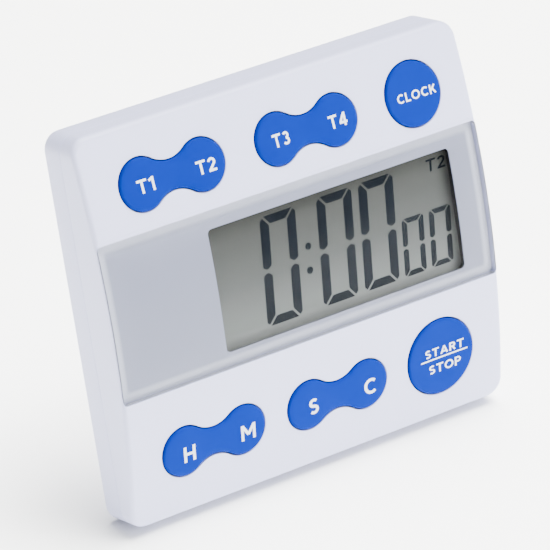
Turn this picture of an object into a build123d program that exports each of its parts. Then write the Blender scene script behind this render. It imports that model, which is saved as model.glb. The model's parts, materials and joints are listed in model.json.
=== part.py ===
from build123d import *
import os
from math import acos, atan2, cos, degrees, hypot, radians, sin, sqrt

# Lab timer, standing on its flip-out stand. Millimetres, +Z up, the display faces -Y.
# Every piece is drawn on the case's face plane: x to the right, rise up the face from the
# middle of the case, depth towards the person who reads the display.

os.makedirs("parts", exist_ok=True)

# --- Driving dimensions ---
LEAN = 15.0                 # how far the case leans back, degrees
WIDTH = 76.0                # case, side to side
HEIGHT = 66.7               # case, up the face
CORNER_R = 3.0              # outline corners
CROWN_R = 140.5             # the face is a shallow barrel, curved up and down
APEX_DEPTH = 11.7           # depth of the barrel's highest line
APEX_RISE = 1.66            # rise of that line
SPLIT_DEPTH = 4.48          # where the two shells meet
RIM_DEPTH = -0.4            # the rear rim of the case
WALL = 1.6
FRONT_FOLD = 0.9            # rounding of the front edge
REAR_FOLD = 0.6             # rounding of the rear edge
SIT_BACK = 0.927            # centres the whole part over the origin, front to back

PAD_W, PAD_H, PAD_R = 65.0, 55.6, 3.5       # raised pad on the back
PAD_DEPTH = 4.2
FLOOR = 1.4                 # floor thickness of the rear shell

LENS_W, LENS_H, LENS_RISE, LENS_R = 75.25, 26.75, 2.5, 1.2
LENS_T = 1.2
LENS_GAP = 0.1
MASK_T = 0.2
SHELF_T = 1.0               # shelf of the front shell under the lens
ZONE_STEP = 0.2             # the thinned ends of the front shell stop this short of its walls
WINDOW_W, WINDOW_H, WINDOW_R = 48.7, 21.1, 0.8
WINDOW_X, WINDOW_RISE = 7.75, 2.0

TOP_ROW, BOTTOM_ROW = 23.42, -22.23
KEY_PROUD = 0.45            # key tops above the face
KEY_GAP = 0.2               # gap round each key
LOBE_R, LOBE_OFFSET, WAIST = 4.3, 5.75, 4.8
ROCKERS = {"key_t1_t2": (-21.25, TOP_ROW), "key_t3_t4": (5.13, TOP_ROW),
           "key_h_m": (-21.4, BOTTOM_ROW), "key_s_c": (3.45, BOTTOM_ROW)}
BUTTONS = {"key_clock": (26.8, TOP_ROW, 5.44), "key_start_stop": (24.83, BOTTOM_ROW, 6.69)}
ROCKER_SKIRT = 2.9          # how far a rocker reaches below the face
BUTTON_SKIRT = 2.25
EAR_T, EAR_OUT, EAR_W = 0.5, 0.8, 3.6       # tabs that hold a key in from behind

BOARD_W, BOARD_H, BOARD_T, BOARD_BACK = 62.0, 60.0, 1.0, 3.6
MAT_T, DOME_R = 0.6, 2.0
GLASS_W, GLASS_H, GLASS_T, GLASS_FRONT = 51.5, 25.0, 0.9, 8.4
LEDGE = 1.6                 # the front glass overhangs the rear glass by this, top and bottom
REFLECTOR_T = 0.2

SCREW_X, SCREW_RISE = 33.6, 29.0
SHANK_R, HEAD_R, HEAD_T = 0.8, 1.75, 1.2
HEAD_SUNK, HEAD_GAP = 0.2, 0.15     # the case screws lie this deep in their recesses, with this gap
SCREW_L = 6.0               # shank of a case screw
BOSS_R = 2.2
LENS_POSTS = [(-26.0, 12.0), (-26.0, -8.0)]
KEY_POSTS = [(-8.1, 22.0), (15.2, -27.5)]
BOARD_POSTS = LENS_POSTS + KEY_POSTS
POST_R = 1.5

HINGE_RISE, HINGE_DEPTH = 16.0, -2.9
STAND_W, STAND_L, STAND_T = 21.6, 47.3, 2.0
STAND_GAP = 0.5
BARREL_R, PIN_R, PIN_CLEARANCE = 1.25, 0.8, 0.05
HEEL = 2.2                  # reach of the heel that stops the stand
TRAY_WALL = 1.6
TRAY_DEPTH = 2.6
FOOT_L = 3.0                # rubber foot at the end of the stand

DOOR_X, DOOR_RISE, DOOR_R = 21.9, 11.0, 7.2
DOOR_GAP = 0.1
TAB_OUT, TAB_T, TAB_ARC, DOOR_TURN = 1.0, 0.6, 30.0, 40.0
CELL_R, CELL_T = 5.8, 5.4
WELL_R = 8.9
SEAL_T = 0.6

MAGNETS = [(-22.0, 12.0), (22.0, -13.0)]
MAGNET_R, MAGNET_T = 6.0, 2.5
BUZZER_X, BUZZER_RISE, DISC_R, CERAMIC_R = -22.0, -13.0, 8.4, 5.8
DISC_T = 0.2


# --- The face plane and its helpers ---
def leaning_plane(origin, lean):
    """A plane that leans back by so many degrees and looks at the reader."""
    tilt = radians(lean)
    return Plane(origin=origin, x_dir=(1, 0, 0), z_dir=(0, -cos(tilt), sin(tilt)))


def at(rise, depth):
    """World point on the centre line, from its rise and depth."""
    tilt = radians(LEAN)
    y = ORIGIN[1] + rise * sin(tilt) - depth * cos(tilt)
    z = ORIGIN[2] + rise * cos(tilt) + depth * sin(tilt)
    return Vector(0, y, z)


def crown_depth(rise, drop=0.0):
    """Depth of the barrel face at a rise, lowered by drop."""
    radius = CROWN_R - drop
    return APEX_DEPTH - CROWN_R + sqrt(radius ** 2 - (rise - APEX_RISE) ** 2)


fold_rise = HEIGHT / 2 - REAR_FOLD
fold_depth = RIM_DEPTH + REAR_FOLD
ORIGIN = (0, SIT_BACK, REAR_FOLD + fold_rise * cos(radians(LEAN)) - fold_depth * sin(radians(LEAN)))
FACE = leaning_plane(ORIGIN, LEAN)
SIDE = Plane(origin=ORIGIN, x_dir=FACE.z_dir, z_dir=(-1, 0, 0))


def prism(outline, low, high):
    """A straight block over an outline on the face plane, between two depths."""
    with BuildPart() as block:
        with BuildSketch(FACE.offset(low)):
            outline()
        extrude(amount=high - low)
    return block.part


def crown_roll(drop):
    """The barrel itself, wider than the case, lowered by drop."""
    with BuildPart() as roll:
        with BuildSketch(SIDE):
            with Locations((APEX_DEPTH - CROWN_R, APEX_RISE)):
                Circle(CROWN_R - drop)
        extrude(amount=WIDTH, both=True)
    return roll.part


def under_crown(outline, low, drop):
    """A block from a depth up to the barrel face, lowered by drop."""
    block = prism(outline, low, APEX_DEPTH + 2)
    roll = crown_roll(drop)
    with BuildPart() as piece:
        add(block)
        add(roll, mode=Mode.INTERSECT)
    return piece.part


def crown_band(outline, outer_drop, inner_drop):
    """A skin between two copies of the barrel face."""
    block = under_crown(outline, 0, outer_drop)
    roll = crown_roll(inner_drop)
    with BuildPart() as piece:
        add(block)
        add(roll, mode=Mode.SUBTRACT)
    return piece.part


def rounded(width, height, radius, x=0.0, rise=0.0):
    """An outline: a rounded rectangle."""
    def draw():
        with Locations((x, rise)):
            RectangleRounded(width, height, radius)
    return draw


def plain(width, height, x=0.0, rise=0.0):
    """An outline: a rectangle."""
    def draw():
        with Locations((x, rise)):
            Rectangle(width, height)
    return draw


def disc(radius, *places):
    """An outline: circles at the given places."""
    def draw():
        with Locations(*places):
            Circle(radius)
    return draw


def dumbbell(x, rise, grow=0.0):
    """An outline: two lobes and a waist, with arcs that run smoothly between them."""
    half_waist = WAIST / 2
    waist_r = (LOBE_OFFSET ** 2 + half_waist ** 2 - LOBE_R ** 2) / (2 * (LOBE_R - half_waist))
    reach = hypot(LOBE_OFFSET, half_waist + waist_r)
    touch_x = LOBE_OFFSET * (1 - LOBE_R / reach)
    touch_y = LOBE_R * (half_waist + waist_r) / reach
    grow_x = -grow * LOBE_OFFSET / reach
    grow_y = grow * (half_waist + waist_r) / reach

    def draw():
        with Locations((x - LOBE_OFFSET, rise), (x + LOBE_OFFSET, rise)):
            Circle(LOBE_R + grow)
        with Locations((x, rise)):
            Rectangle(2 * (touch_x + grow_x), 2 * (touch_y + grow_y))
        centre = half_waist + waist_r
        with Locations((x, rise + centre), (x, rise - centre)):
            Circle(waist_r - grow, mode=Mode.SUBTRACT)
    return draw


def save(builder, name):
    """Label a finished piece and write it."""
    builder.part.label = name
    export_step(builder.part, f"parts/{name}.step")


# --- Front shell ---
lens_floor = LENS_T + MASK_T + 0.05
shelf_drop = lens_floor + SHELF_T
inner_w, inner_h, inner_r = WIDTH - 2 * WALL, HEIGHT - 2 * WALL, CORNER_R - WALL
upper_zone_h = inner_h / 2 - (LENS_RISE + LENS_H / 2 + WALL)
lower_zone_h = inner_h / 2 + (LENS_RISE - LENS_H / 2 - WALL)


def key_zone(height, side):
    """An outline: the end of the case's inside, above or below the lens."""
    def draw():
        RectangleRounded(inner_w - ZONE_STEP, inner_h - ZONE_STEP, inner_r - ZONE_STEP / 2)
        with Locations((0, side * (inner_h - height) / 2)):
            Rectangle(inner_w, height, mode=Mode.INTERSECT)
    return draw


shell_body = under_crown(rounded(WIDTH, HEIGHT, CORNER_R), SPLIT_DEPTH, 0)
with BuildPart() as shell_blank:
    add(shell_body)
    front_edges = shell_blank.edges().filter_by(
        lambda e: (e.center() - FACE.origin).dot(FACE.z_dir) > SPLIT_DEPTH + 2.3
        and e.length > 0.5 and abs(e.tangent_at(0.5).dot(FACE.z_dir)) < 0.4)
    fillet(front_edges, radius=FRONT_FOLD)

cavity = under_crown(rounded(inner_w, inner_h, inner_r), SPLIT_DEPTH, shelf_drop)
key_pockets = [crown_band(key_zone(upper_zone_h, 1), WALL, shelf_drop + 1),
               crown_band(key_zone(lower_zone_h, -1), WALL, shelf_drop + 1)]
lens_pocket = crown_band(
    rounded(LENS_W + 2 * LENS_GAP, LENS_H + 2 * LENS_GAP, LENS_R + LENS_GAP, 0, LENS_RISE),
    -1.0, lens_floor)
corners = [(sx * SCREW_X, sz * SCREW_RISE) for sx in (-1, 1) for sz in (-1, 1)]
board_front = BOARD_BACK + BOARD_T
bosses = under_crown(disc(BOSS_R, *corners), SPLIT_DEPTH, WALL / 2)
lens_posts = under_crown(disc(POST_R, *LENS_POSTS), board_front, lens_floor + SHELF_T / 2)
key_posts = under_crown(disc(POST_R, *KEY_POSTS), board_front, WALL / 2)
with BuildPart() as front_shell:
    add(shell_blank.part)
    add(cavity, mode=Mode.SUBTRACT)
    add(key_pockets, mode=Mode.SUBTRACT)
    add(bosses)
    add(lens_posts)
    add(key_posts)
    add(lens_pocket, mode=Mode.SUBTRACT)
    with BuildSketch(FACE.offset(SPLIT_DEPTH)):
        rounded(WINDOW_W + 1.2, WINDOW_H + 1.2, WINDOW_R, WINDOW_X, WINDOW_RISE)()
        for spot in ROCKERS.values():
            dumbbell(*spot, grow=KEY_GAP)()
        for x, rise, radius in BUTTONS.values():
            disc(radius + KEY_GAP, (x, rise))()
    extrude(amount=APEX_DEPTH, mode=Mode.SUBTRACT)
    with BuildSketch(FACE.offset(SPLIT_DEPTH)):
        disc(SHANK_R + PIN_CLEARANCE, *corners)()
    extrude(amount=3.0, mode=Mode.SUBTRACT)
    with BuildSketch(FACE.offset(board_front)):
        disc(SHANK_R + PIN_CLEARANCE, *BOARD_POSTS)()
    extrude(amount=2.4, mode=Mode.SUBTRACT)
save(front_shell, "front_shell")

# --- Lens and the printed mask behind it ---
lens_body = crown_band(rounded(LENS_W, LENS_H, LENS_R, 0, LENS_RISE), 0, LENS_T)
with BuildPart() as lens:
    add(lens_body)
save(lens, "lens")

mask_body = crown_band(rounded(LENS_W - 0.2, LENS_H - 0.2, LENS_R, 0, LENS_RISE), LENS_T, LENS_T + MASK_T)
with BuildPart() as lens_mask:
    add(mask_body)
    with BuildSketch(FACE.offset(SPLIT_DEPTH)):
        rounded(WINDOW_W, WINDOW_H, WINDOW_R, WINDOW_X, WINDOW_RISE)()
    extrude(amount=APEX_DEPTH, mode=Mode.SUBTRACT)
save(lens_mask, "lens_mask")


# --- Keys ---
def key_bodies(outline, ears, skirt):
    """A key's cap from its proud top to its skirt, and the tabs at its sides."""
    cap = crown_band(outline, -KEY_PROUD, skirt)
    tabs = [crown_band(ear, skirt - EAR_T, skirt) for ear in ears]
    return [cap] + tabs


for name, (x, rise) in ROCKERS.items():
    reach = LOBE_OFFSET + LOBE_R + EAR_OUT
    ears = [plain(4.0, EAR_W, x + side * (reach - 2.0), rise) for side in (-1, 1)]
    bodies = key_bodies(dumbbell(x, rise), ears, ROCKER_SKIRT)
    with BuildPart() as rocker:
        add(bodies)
    save(rocker, name)

for name, (x, rise, radius) in BUTTONS.items():
    ears = [plain(4.0, EAR_W, x + side * (radius + EAR_OUT - 2.0), rise) for side in (-1, 1)]
    bodies = key_bodies(disc(radius, (x, rise)), ears, BUTTON_SKIRT)
    with BuildPart() as button:
        add(bodies)
    save(button, name)

# --- Rubber mats under the keys ---
mat_top = board_front + MAT_T
rows = {"keypad_upper": (TOP_ROW, 16.9, 29.6), "keypad_lower": (BOTTOM_ROW, -29.6, -14.6)}
for name, (row, low, high) in rows.items():
    outward = DOME_R if row > 0 else -DOME_R
    domes = []
    for x, rise in ROCKERS.values():
        if rise == row:
            top = crown_depth(rise + outward, ROCKER_SKIRT) - 0.05
            domes.append((disc(DOME_R, (x - LOBE_OFFSET, rise), (x + LOBE_OFFSET, rise)), top))
    for x, rise, radius in BUTTONS.values():
        if rise == row:
            domes.append((disc(DOME_R, (x, rise)), crown_depth(rise + outward, BUTTON_SKIRT) - 0.05))
    with BuildPart() as mat:
        with BuildSketch(FACE.offset(board_front)):
            rounded(BOARD_W - 1, high - low, 1.0, 0, (low + high) / 2)()
            with Locations(*[spot for spot in BOARD_POSTS if low < spot[1] < high]):
                Circle(POST_R + 0.3, mode=Mode.SUBTRACT)
        extrude(amount=MAT_T)
        for outline, top in domes:
            with BuildSketch(FACE.offset(mat_top)):
                outline()
            extrude(amount=top - mat_top)
    save(mat, name)

# --- Display: two glasses, reflector, frame and contact strips ---
glass_back = GLASS_FRONT - GLASS_T
rear_glass_h = GLASS_H - 2 * LEDGE
display = {
    "lcd_front_glass": (GLASS_W, GLASS_H, glass_back, GLASS_FRONT),
    "lcd_rear_glass": (GLASS_W, rear_glass_h, glass_back - GLASS_T, glass_back),
    "lcd_reflector": (GLASS_W - 1, rear_glass_h, glass_back - GLASS_T - REFLECTOR_T, glass_back - GLASS_T),
}
for name, (width, height, low, high) in display.items():
    with BuildPart() as layer:
        with BuildSketch(FACE.offset(low)):
            plain(width, height, WINDOW_X, WINDOW_RISE)()
        extrude(amount=high - low)
    save(layer, name)

frame_w, frame_h = GLASS_W + 2.6, GLASS_H + 2.6
with BuildPart() as lcd_frame:
    with BuildSketch(FACE.offset(board_front)):
        rounded(frame_w, frame_h, 1.0, WINDOW_X, WINDOW_RISE)()
        with Locations((WINDOW_X, WINDOW_RISE)):
            Rectangle(GLASS_W + 0.2, GLASS_H + 0.2, mode=Mode.SUBTRACT)
    extrude(amount=GLASS_FRONT - board_front)
save(lcd_frame, "lcd_frame")

strip_rise = GLASS_H / 2 - LEDGE / 2
with BuildPart() as contact_strips:
    with BuildSketch(FACE.offset(board_front)):
        for side in (-1, 1):
            plain(GLASS_W - 4, LEDGE - 0.3, WINDOW_X, WINDOW_RISE + side * strip_rise)()
    extrude(amount=glass_back - board_front)
save(contact_strips, "contact_strips")

# --- Circuit board and what is soldered to it ---
with BuildPart() as circuit_board:
    with BuildSketch(FACE.offset(BOARD_BACK)):
        Rectangle(BOARD_W, BOARD_H)
        with Locations(*BOARD_POSTS):
            Circle(SHANK_R + PIN_CLEARANCE, mode=Mode.SUBTRACT)
    extrude(amount=BOARD_T)
save(circuit_board, "circuit_board")

CHIP_R, CHIP_T = 4.5, 1.2
with BuildPart() as chip_cover:
    with BuildSketch(FACE.offset(board_front)):
        disc(CHIP_R, (WINDOW_X, WINDOW_RISE))()
    extrude(amount=CHIP_T)
    fillet(chip_cover.faces().sort_by(Axis((0, 0, 0), FACE.z_dir))[-1].edges(), radius=0.9)
save(chip_cover, "chip_cover")

CRYSTAL_R, CRYSTAL_L, CRYSTAL_RISE = 1.0, 6.0, 6.0
with BuildPart() as quartz_crystal:
    with BuildSketch(SIDE):
        with Locations((BOARD_BACK - CRYSTAL_R, CRYSTAL_RISE)):
            Circle(CRYSTAL_R)
    extrude(amount=CRYSTAL_L / 2, both=True)
save(quartz_crystal, "quartz_crystal")

CHIP_PARTS = [(-4.0, 0.0), (4.0, 0.0), (-7.0, 3.0), (7.0, 3.0), (0.0, -3.0)]
with BuildPart() as board_parts:
    with BuildSketch(FACE.offset(BOARD_BACK)):
        with Locations(*CHIP_PARTS):
            Rectangle(2.0, 1.25)
    extrude(amount=-0.9)
save(board_parts, "board_parts")

# --- Rear shell ---
PAD_BACK = -PAD_DEPTH
pad_floor = PAD_BACK + FLOOR
tray_floor = PAD_BACK + TRAY_DEPTH
tray_w = STAND_W + 2 * STAND_GAP
tray_top = HINGE_RISE + hypot(HEEL, BARREL_R) + 0.3
tray_bottom = -PAD_H / 2
tray_wide = plain(tray_w + 2 * TRAY_WALL, tray_top + TRAY_WALL - tray_bottom, 0,
                  (tray_top + TRAY_WALL + tray_bottom) / 2)
tray_cut = plain(tray_w, tray_top - tray_bottom + 10, 0, (tray_top + tray_bottom - 10) / 2)
well_top = 2.0
groove_r = DOOR_R + TAB_OUT + DOOR_GAP
buzzer_spot = (BUZZER_X, BUZZER_RISE)
disc_back = pad_floor + 1.6


def sector(radius, middle, arc):
    """An outline: two facing sectors of the battery door."""
    def spot(turn):
        return (DOOR_X + radius * cos(radians(turn)), DOOR_RISE + radius * sin(radians(turn)))

    def draw():
        hub = (DOOR_X, DOOR_RISE)
        for turn in (middle, middle + 180):
            with BuildLine() as wedge:
                Line(hub, spot(turn - arc / 2))
                ThreePointArc(spot(turn - arc / 2), spot(turn), spot(turn + arc / 2))
                Line(spot(turn + arc / 2), hub)
            make_face(wedge.edges())
    return draw


with BuildPart() as rear_blank:
    with BuildSketch(FACE.offset(RIM_DEPTH)):
        RectangleRounded(WIDTH, HEIGHT, CORNER_R)
    extrude(amount=SPLIT_DEPTH - RIM_DEPTH)
    fillet(rear_blank.faces().sort_by(Axis((0, 0, 0), FACE.z_dir))[0].edges(), radius=REAR_FOLD)
    with BuildSketch(FACE.offset(PAD_BACK)):
        RectangleRounded(PAD_W, PAD_H, PAD_R)
    extrude(amount=PAD_DEPTH)
    fillet(rear_blank.faces().sort_by(Axis((0, 0, 0), FACE.z_dir))[0].edges(), radius=1.0)

with BuildPart() as rear_shell:
    add(rear_blank.part)
    with BuildSketch(FACE.offset(FLOOR)):
        RectangleRounded(inner_w, inner_h, inner_r)
    extrude(amount=SPLIT_DEPTH, mode=Mode.SUBTRACT)
    with BuildSketch(FACE.offset(pad_floor)):
        RectangleRounded(PAD_W - 2 * FLOOR, PAD_H - 2 * FLOOR, PAD_R - FLOOR)
    extrude(amount=PAD_DEPTH, mode=Mode.SUBTRACT)
    # tray for the stand, well for the cell, pockets for the magnets, ring for the buzzer
    with BuildSketch(FACE.offset(pad_floor)):
        tray_wide()
    extrude(amount=tray_floor + FLOOR - pad_floor)
    with BuildSketch(FACE.offset(pad_floor)):
        disc(WELL_R, (DOOR_X, DOOR_RISE))()
    extrude(amount=well_top - pad_floor)
    with BuildSketch(FACE.offset(pad_floor)):
        disc(MAGNET_R + 1.2, *MAGNETS)()
    extrude(amount=MAGNET_T - FLOOR + 1.0)
    with BuildSketch(FACE.offset(pad_floor)):
        disc(DISC_R + 0.6, buzzer_spot)()
        disc_rim = DISC_R - 0.9
        with Locations(buzzer_spot):
            Circle(disc_rim, mode=Mode.SUBTRACT)
    extrude(amount=disc_back - pad_floor)
    with BuildSketch(FACE.offset(FLOOR)):
        disc(BOSS_R, *corners)()
    extrude(amount=SPLIT_DEPTH - FLOOR)
    # cuts from behind
    with BuildSketch(FACE.offset(PAD_BACK)):
        tray_cut()
    extrude(amount=TRAY_DEPTH, mode=Mode.SUBTRACT)
    with BuildSketch(FACE.offset(PAD_BACK)):
        disc(MAGNET_R + 0.05, *MAGNETS)()
    extrude(amount=MAGNET_T, mode=Mode.SUBTRACT)
    with BuildSketch(FACE.offset(PAD_BACK)):
        disc(DOOR_R + DOOR_GAP, (DOOR_X, DOOR_RISE))()
        sector(groove_r, -DOOR_TURN, TAB_ARC + 4)()
    extrude(amount=FLOOR, mode=Mode.SUBTRACT)
    with BuildSketch(FACE.offset(pad_floor - TAB_T - 0.05)):
        disc(groove_r, (DOOR_X, DOOR_RISE))()
    extrude(amount=TAB_T + 0.05, mode=Mode.SUBTRACT)
    with BuildSketch(FACE.offset(pad_floor)):
        disc(DOOR_R - 0.1, (DOOR_X, DOOR_RISE))()
    extrude(amount=SEAL_T, mode=Mode.SUBTRACT)
    with BuildSketch(FACE.offset(pad_floor)):
        disc(CELL_R + 0.15, (DOOR_X, DOOR_RISE))()
        plain(1.2, 3.4, DOOR_X + CELL_R + 0.5, DOOR_RISE)()
    extrude(amount=6.0, mode=Mode.SUBTRACT)
    with BuildSketch(FACE.offset(PAD_BACK)):
        with Locations(buzzer_spot):
            Circle(0.9)
            with PolarLocations(3.2, 6):
                Circle(0.9)
    extrude(amount=FLOOR, mode=Mode.SUBTRACT)
    with BuildSketch(FACE.offset(RIM_DEPTH)):
        disc(SHANK_R + PIN_CLEARANCE, *corners)()
    extrude(amount=SPLIT_DEPTH - RIM_DEPTH, mode=Mode.SUBTRACT)
    with BuildSketch(FACE.offset(RIM_DEPTH)):
        disc(HEAD_R + HEAD_GAP, *corners)()
    extrude(amount=HEAD_T, mode=Mode.SUBTRACT)
    # bore for the stand's pin
    with BuildSketch(SIDE):
        with Locations((HINGE_DEPTH, HINGE_RISE)):
            Circle(PIN_R)
    extrude(amount=tray_w / 2 + TRAY_WALL - 0.2, both=True, mode=Mode.SUBTRACT)
save(rear_shell, "rear_shell")

# --- Buzzer ---
for name, radius, low in (("buzzer_disc", DISC_R, disc_back), ("buzzer_ceramic", CERAMIC_R, disc_back + DISC_T)):
    with BuildPart() as plate:
        with BuildSketch(FACE.offset(low)):
            disc(radius, buzzer_spot)()
        extrude(amount=DISC_T)
    save(plate, name)

SPRING_R, WIRE_R, SPRING_TURNS = 1.0, 0.16, 5
spring_feet = [(0.0, disc_back + 2 * DISC_T), (CERAMIC_R + 1.3, disc_back + DISC_T)]
with BuildPart() as buzzer_springs:
    for shift, foot in spring_feet:
        length = BOARD_BACK - foot - 2 * WIRE_R
        base = FACE.offset(foot + WIRE_R)
        centre = base.from_local_coords((BUZZER_X + shift, BUZZER_RISE, 0))
        with BuildLine() as coil:
            Helix(length / SPRING_TURNS, length, SPRING_R, center=centre, direction=FACE.z_dir)
        with BuildSketch(Plane(origin=coil.line @ 0, z_dir=coil.line % 0)):
            Circle(WIRE_R)
        sweep(path=coil.line, is_frenet=True)
save(buzzer_springs, "buzzer_springs")

# --- Battery: cell, contacts, seal and twist door ---
cell_back = pad_floor + 0.2
with BuildPart() as button_cell:
    with BuildSketch(FACE.offset(cell_back)):
        disc(CELL_R, (DOOR_X, DOOR_RISE))()
    extrude(amount=CELL_T - 0.6)
    with BuildSketch(FACE.offset(cell_back + CELL_T - 0.6)):
        disc(CELL_R - 1.2, (DOOR_X, DOOR_RISE))()
    extrude(amount=0.6)
save(button_cell, "button_cell")

cell_front = cell_back + CELL_T
LEAF_T = 0.25
with BuildPart() as contact_minus:
    with BuildSketch(FACE.offset(BOARD_BACK - LEAF_T)):
        plain(8.0, 3.0, DOOR_X - 1.5, DOOR_RISE)()
    extrude(amount=LEAF_T)
    with BuildSketch(FACE.offset(cell_front)):
        plain(2.4, 3.0, DOOR_X, DOOR_RISE)()
    extrude(amount=BOARD_BACK - LEAF_T - cell_front)
save(contact_minus, "contact_minus")

with BuildPart() as contact_plus:
    with BuildSketch(FACE.offset(cell_back + 0.4)):
        plain(LEAF_T, 3.0, DOOR_X + CELL_R + 0.05 + LEAF_T / 2, DOOR_RISE)()
    extrude(amount=BOARD_BACK - cell_back - 0.4)
    with BuildSketch(FACE.offset(BOARD_BACK - LEAF_T)):
        plain(2.4, 3.0, DOOR_X + CELL_R + 1.25, DOOR_RISE)()
    extrude(amount=LEAF_T)
save(contact_plus, "contact_plus")

with BuildPart() as door_seal:
    with BuildSketch(FACE.offset(pad_floor)):
        disc(DOOR_R - 0.15, (DOOR_X, DOOR_RISE))()
        with Locations((DOOR_X, DOOR_RISE)):
            Circle(CELL_R + 0.3, mode=Mode.SUBTRACT)
    extrude(amount=SEAL_T)
save(door_seal, "door_seal")

SLOT_L, SLOT_W, SLOT_DEEP = 9.0, 1.5, 0.75
with BuildPart() as battery_door:
    with BuildSketch(FACE.offset(PAD_BACK)):
        disc(DOOR_R, (DOOR_X, DOOR_RISE))()
    extrude(amount=FLOOR - 0.03)
    with BuildSketch(FACE.offset(pad_floor - TAB_T)):
        sector(DOOR_R + TAB_OUT, 0, TAB_ARC)()
    extrude(amount=TAB_T - 0.03)
    with BuildSketch(FACE.offset(PAD_BACK)):
        rounded(SLOT_L, SLOT_W, 0.6, DOOR_X, DOOR_RISE)()
    extrude(amount=SLOT_DEEP, mode=Mode.SUBTRACT)
save(battery_door, "battery_door")

# --- Magnets ---
with BuildPart() as magnets:
    with BuildSketch(FACE.offset(PAD_BACK)):
        disc(MAGNET_R, *MAGNETS)()
    extrude(amount=MAGNET_T)
save(magnets, "magnets")


# --- Screws ---
def screws(places, head_back, head_t, length):
    """Pan-head screws that point at the face."""
    with BuildPart() as group:
        with BuildSketch(FACE.offset(head_back)):
            disc(HEAD_R, *places)()
        extrude(amount=head_t)
        with BuildSketch(FACE.offset(head_back + head_t)):
            disc(SHANK_R, *places)()
        extrude(amount=length)
        with BuildSketch(FACE.offset(head_back)):
            with Locations(*places):
                Rectangle(2.0, 0.45)
                Rectangle(0.45, 2.0)
        extrude(amount=0.6, mode=Mode.SUBTRACT)
    return group


case_screws = screws(corners, RIM_DEPTH + HEAD_SUNK, HEAD_T - HEAD_SUNK, SCREW_L)
save(case_screws, "case_screws")
board_screws = screws(BOARD_POSTS, BOARD_BACK - 1.0, 1.0, 3.0)
save(board_screws, "board_screws")

# --- Stand, opened until its heel rests on the tray's floor ---
hinge = at(HINGE_RISE, HINGE_DEPTH)
plate_mid = PAD_BACK + STAND_T / 2 - HINGE_DEPTH
foot_r = STAND_T / 2
run = STAND_L - foot_r
drop = hinge.Z - foot_r
STAND_TILT = degrees(acos(drop / hypot(run, plate_mid)) - atan2(-plate_mid, run))
STAND_OPEN = LEAN + STAND_TILT
STAND = leaning_plane(hinge, -STAND_TILT)
STAND_SIDE = Plane(origin=hinge, x_dir=STAND.z_dir, z_dir=(-1, 0, 0))
HEEL_SIDE = Plane(origin=hinge, x_dir=FACE.z_dir, z_dir=(-1, 0, 0))
heel_low = tray_floor - HINGE_DEPTH - 0.05

with BuildPart() as stand:
    with BuildSketch(STAND_SIDE):
        Circle(BARREL_R)
        with Locations((plate_mid, -(STAND_L - FOOT_L) / 2)):
            Rectangle(STAND_T, STAND_L - FOOT_L)
        with Locations((plate_mid, -(STAND_L - FOOT_L) - 0.5)):
            Rectangle(0.8, 1.0)
    extrude(amount=STAND_W / 2, both=True)
    with BuildSketch(HEEL_SIDE):
        with Locations((heel_low / 2, HEEL / 2)):
            Rectangle(heel_low, HEEL)
    extrude(amount=STAND_W / 2, both=True)
    with BuildSketch(STAND_SIDE):
        Circle(PIN_R + PIN_CLEARANCE)
    extrude(amount=STAND_W / 2, both=True, mode=Mode.SUBTRACT)
save(stand, "stand")

with BuildPart() as stand_foot:
    with BuildSketch(STAND_SIDE):
        with Locations((plate_mid, -STAND_L + (FOOT_L + foot_r) / 2)):
            Rectangle(STAND_T, FOOT_L - foot_r)
        with Locations((plate_mid, -run)):
            Circle(foot_r)
        with Locations((plate_mid, -(STAND_L - FOOT_L) - 0.5)):
            Rectangle(0.8, 1.0, mode=Mode.SUBTRACT)
    extrude(amount=STAND_W / 2, both=True)
save(stand_foot, "stand_foot")

with BuildPart() as stand_pin:
    with BuildSketch(SIDE):
        with Locations((HINGE_DEPTH, HINGE_RISE)):
            Circle(PIN_R)
    extrude(amount=tray_w / 2 + TRAY_WALL - 0.3, both=True)
save(stand_pin, "stand_pin")

print("origin of the face plane:", tuple(round(v, 3) for v in ORIGIN))
print("hinge:", hinge, "stand opens by", round(STAND_OPEN, 2), "degrees")
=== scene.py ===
# %% [markdown]
# # A lab timer, built around its CAD frame
# This notebook dresses a small timer that stands on its flip-out stand. The CAD model gives every part
# its place, its size and its joints. Here each visible part gets a finer mesh and a material of its own.
# The first cell loads that frame.

# %% Load the frame
import json
from math import atan2, cos, hypot, pi, radians, sin, sqrt, tau

import bmesh
import bpy
import numpy as np
from mathutils import Matrix, Vector
from mathutils.geometry import delaunay_2d_cdt


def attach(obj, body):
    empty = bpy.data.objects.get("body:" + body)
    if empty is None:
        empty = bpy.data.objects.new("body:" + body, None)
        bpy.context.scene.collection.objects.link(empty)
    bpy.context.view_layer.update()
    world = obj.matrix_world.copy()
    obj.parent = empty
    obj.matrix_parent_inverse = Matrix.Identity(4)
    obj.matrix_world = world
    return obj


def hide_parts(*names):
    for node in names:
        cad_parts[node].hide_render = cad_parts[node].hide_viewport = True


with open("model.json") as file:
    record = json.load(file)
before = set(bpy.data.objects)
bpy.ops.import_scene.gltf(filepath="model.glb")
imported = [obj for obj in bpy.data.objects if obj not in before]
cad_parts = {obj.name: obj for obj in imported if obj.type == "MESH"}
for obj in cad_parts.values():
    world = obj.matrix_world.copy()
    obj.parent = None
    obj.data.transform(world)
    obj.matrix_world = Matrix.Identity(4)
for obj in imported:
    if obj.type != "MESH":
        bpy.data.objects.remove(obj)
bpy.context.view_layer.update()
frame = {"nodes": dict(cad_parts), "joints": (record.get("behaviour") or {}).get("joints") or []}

nodes, joints = frame["nodes"], {joint["name"]: joint for joint in frame["joints"]}

# %% [markdown]
# ## The face plane
# The case leans back, so it is easier to draw every part on a plane that leans with it: x runs to the
# right, rise runs up the face and depth runs out to the reader, all in millimetres. One joint's axis
# points up the face and another's points straight into it. The rear shell gives the middle, so those
# three fix the plane.

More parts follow.
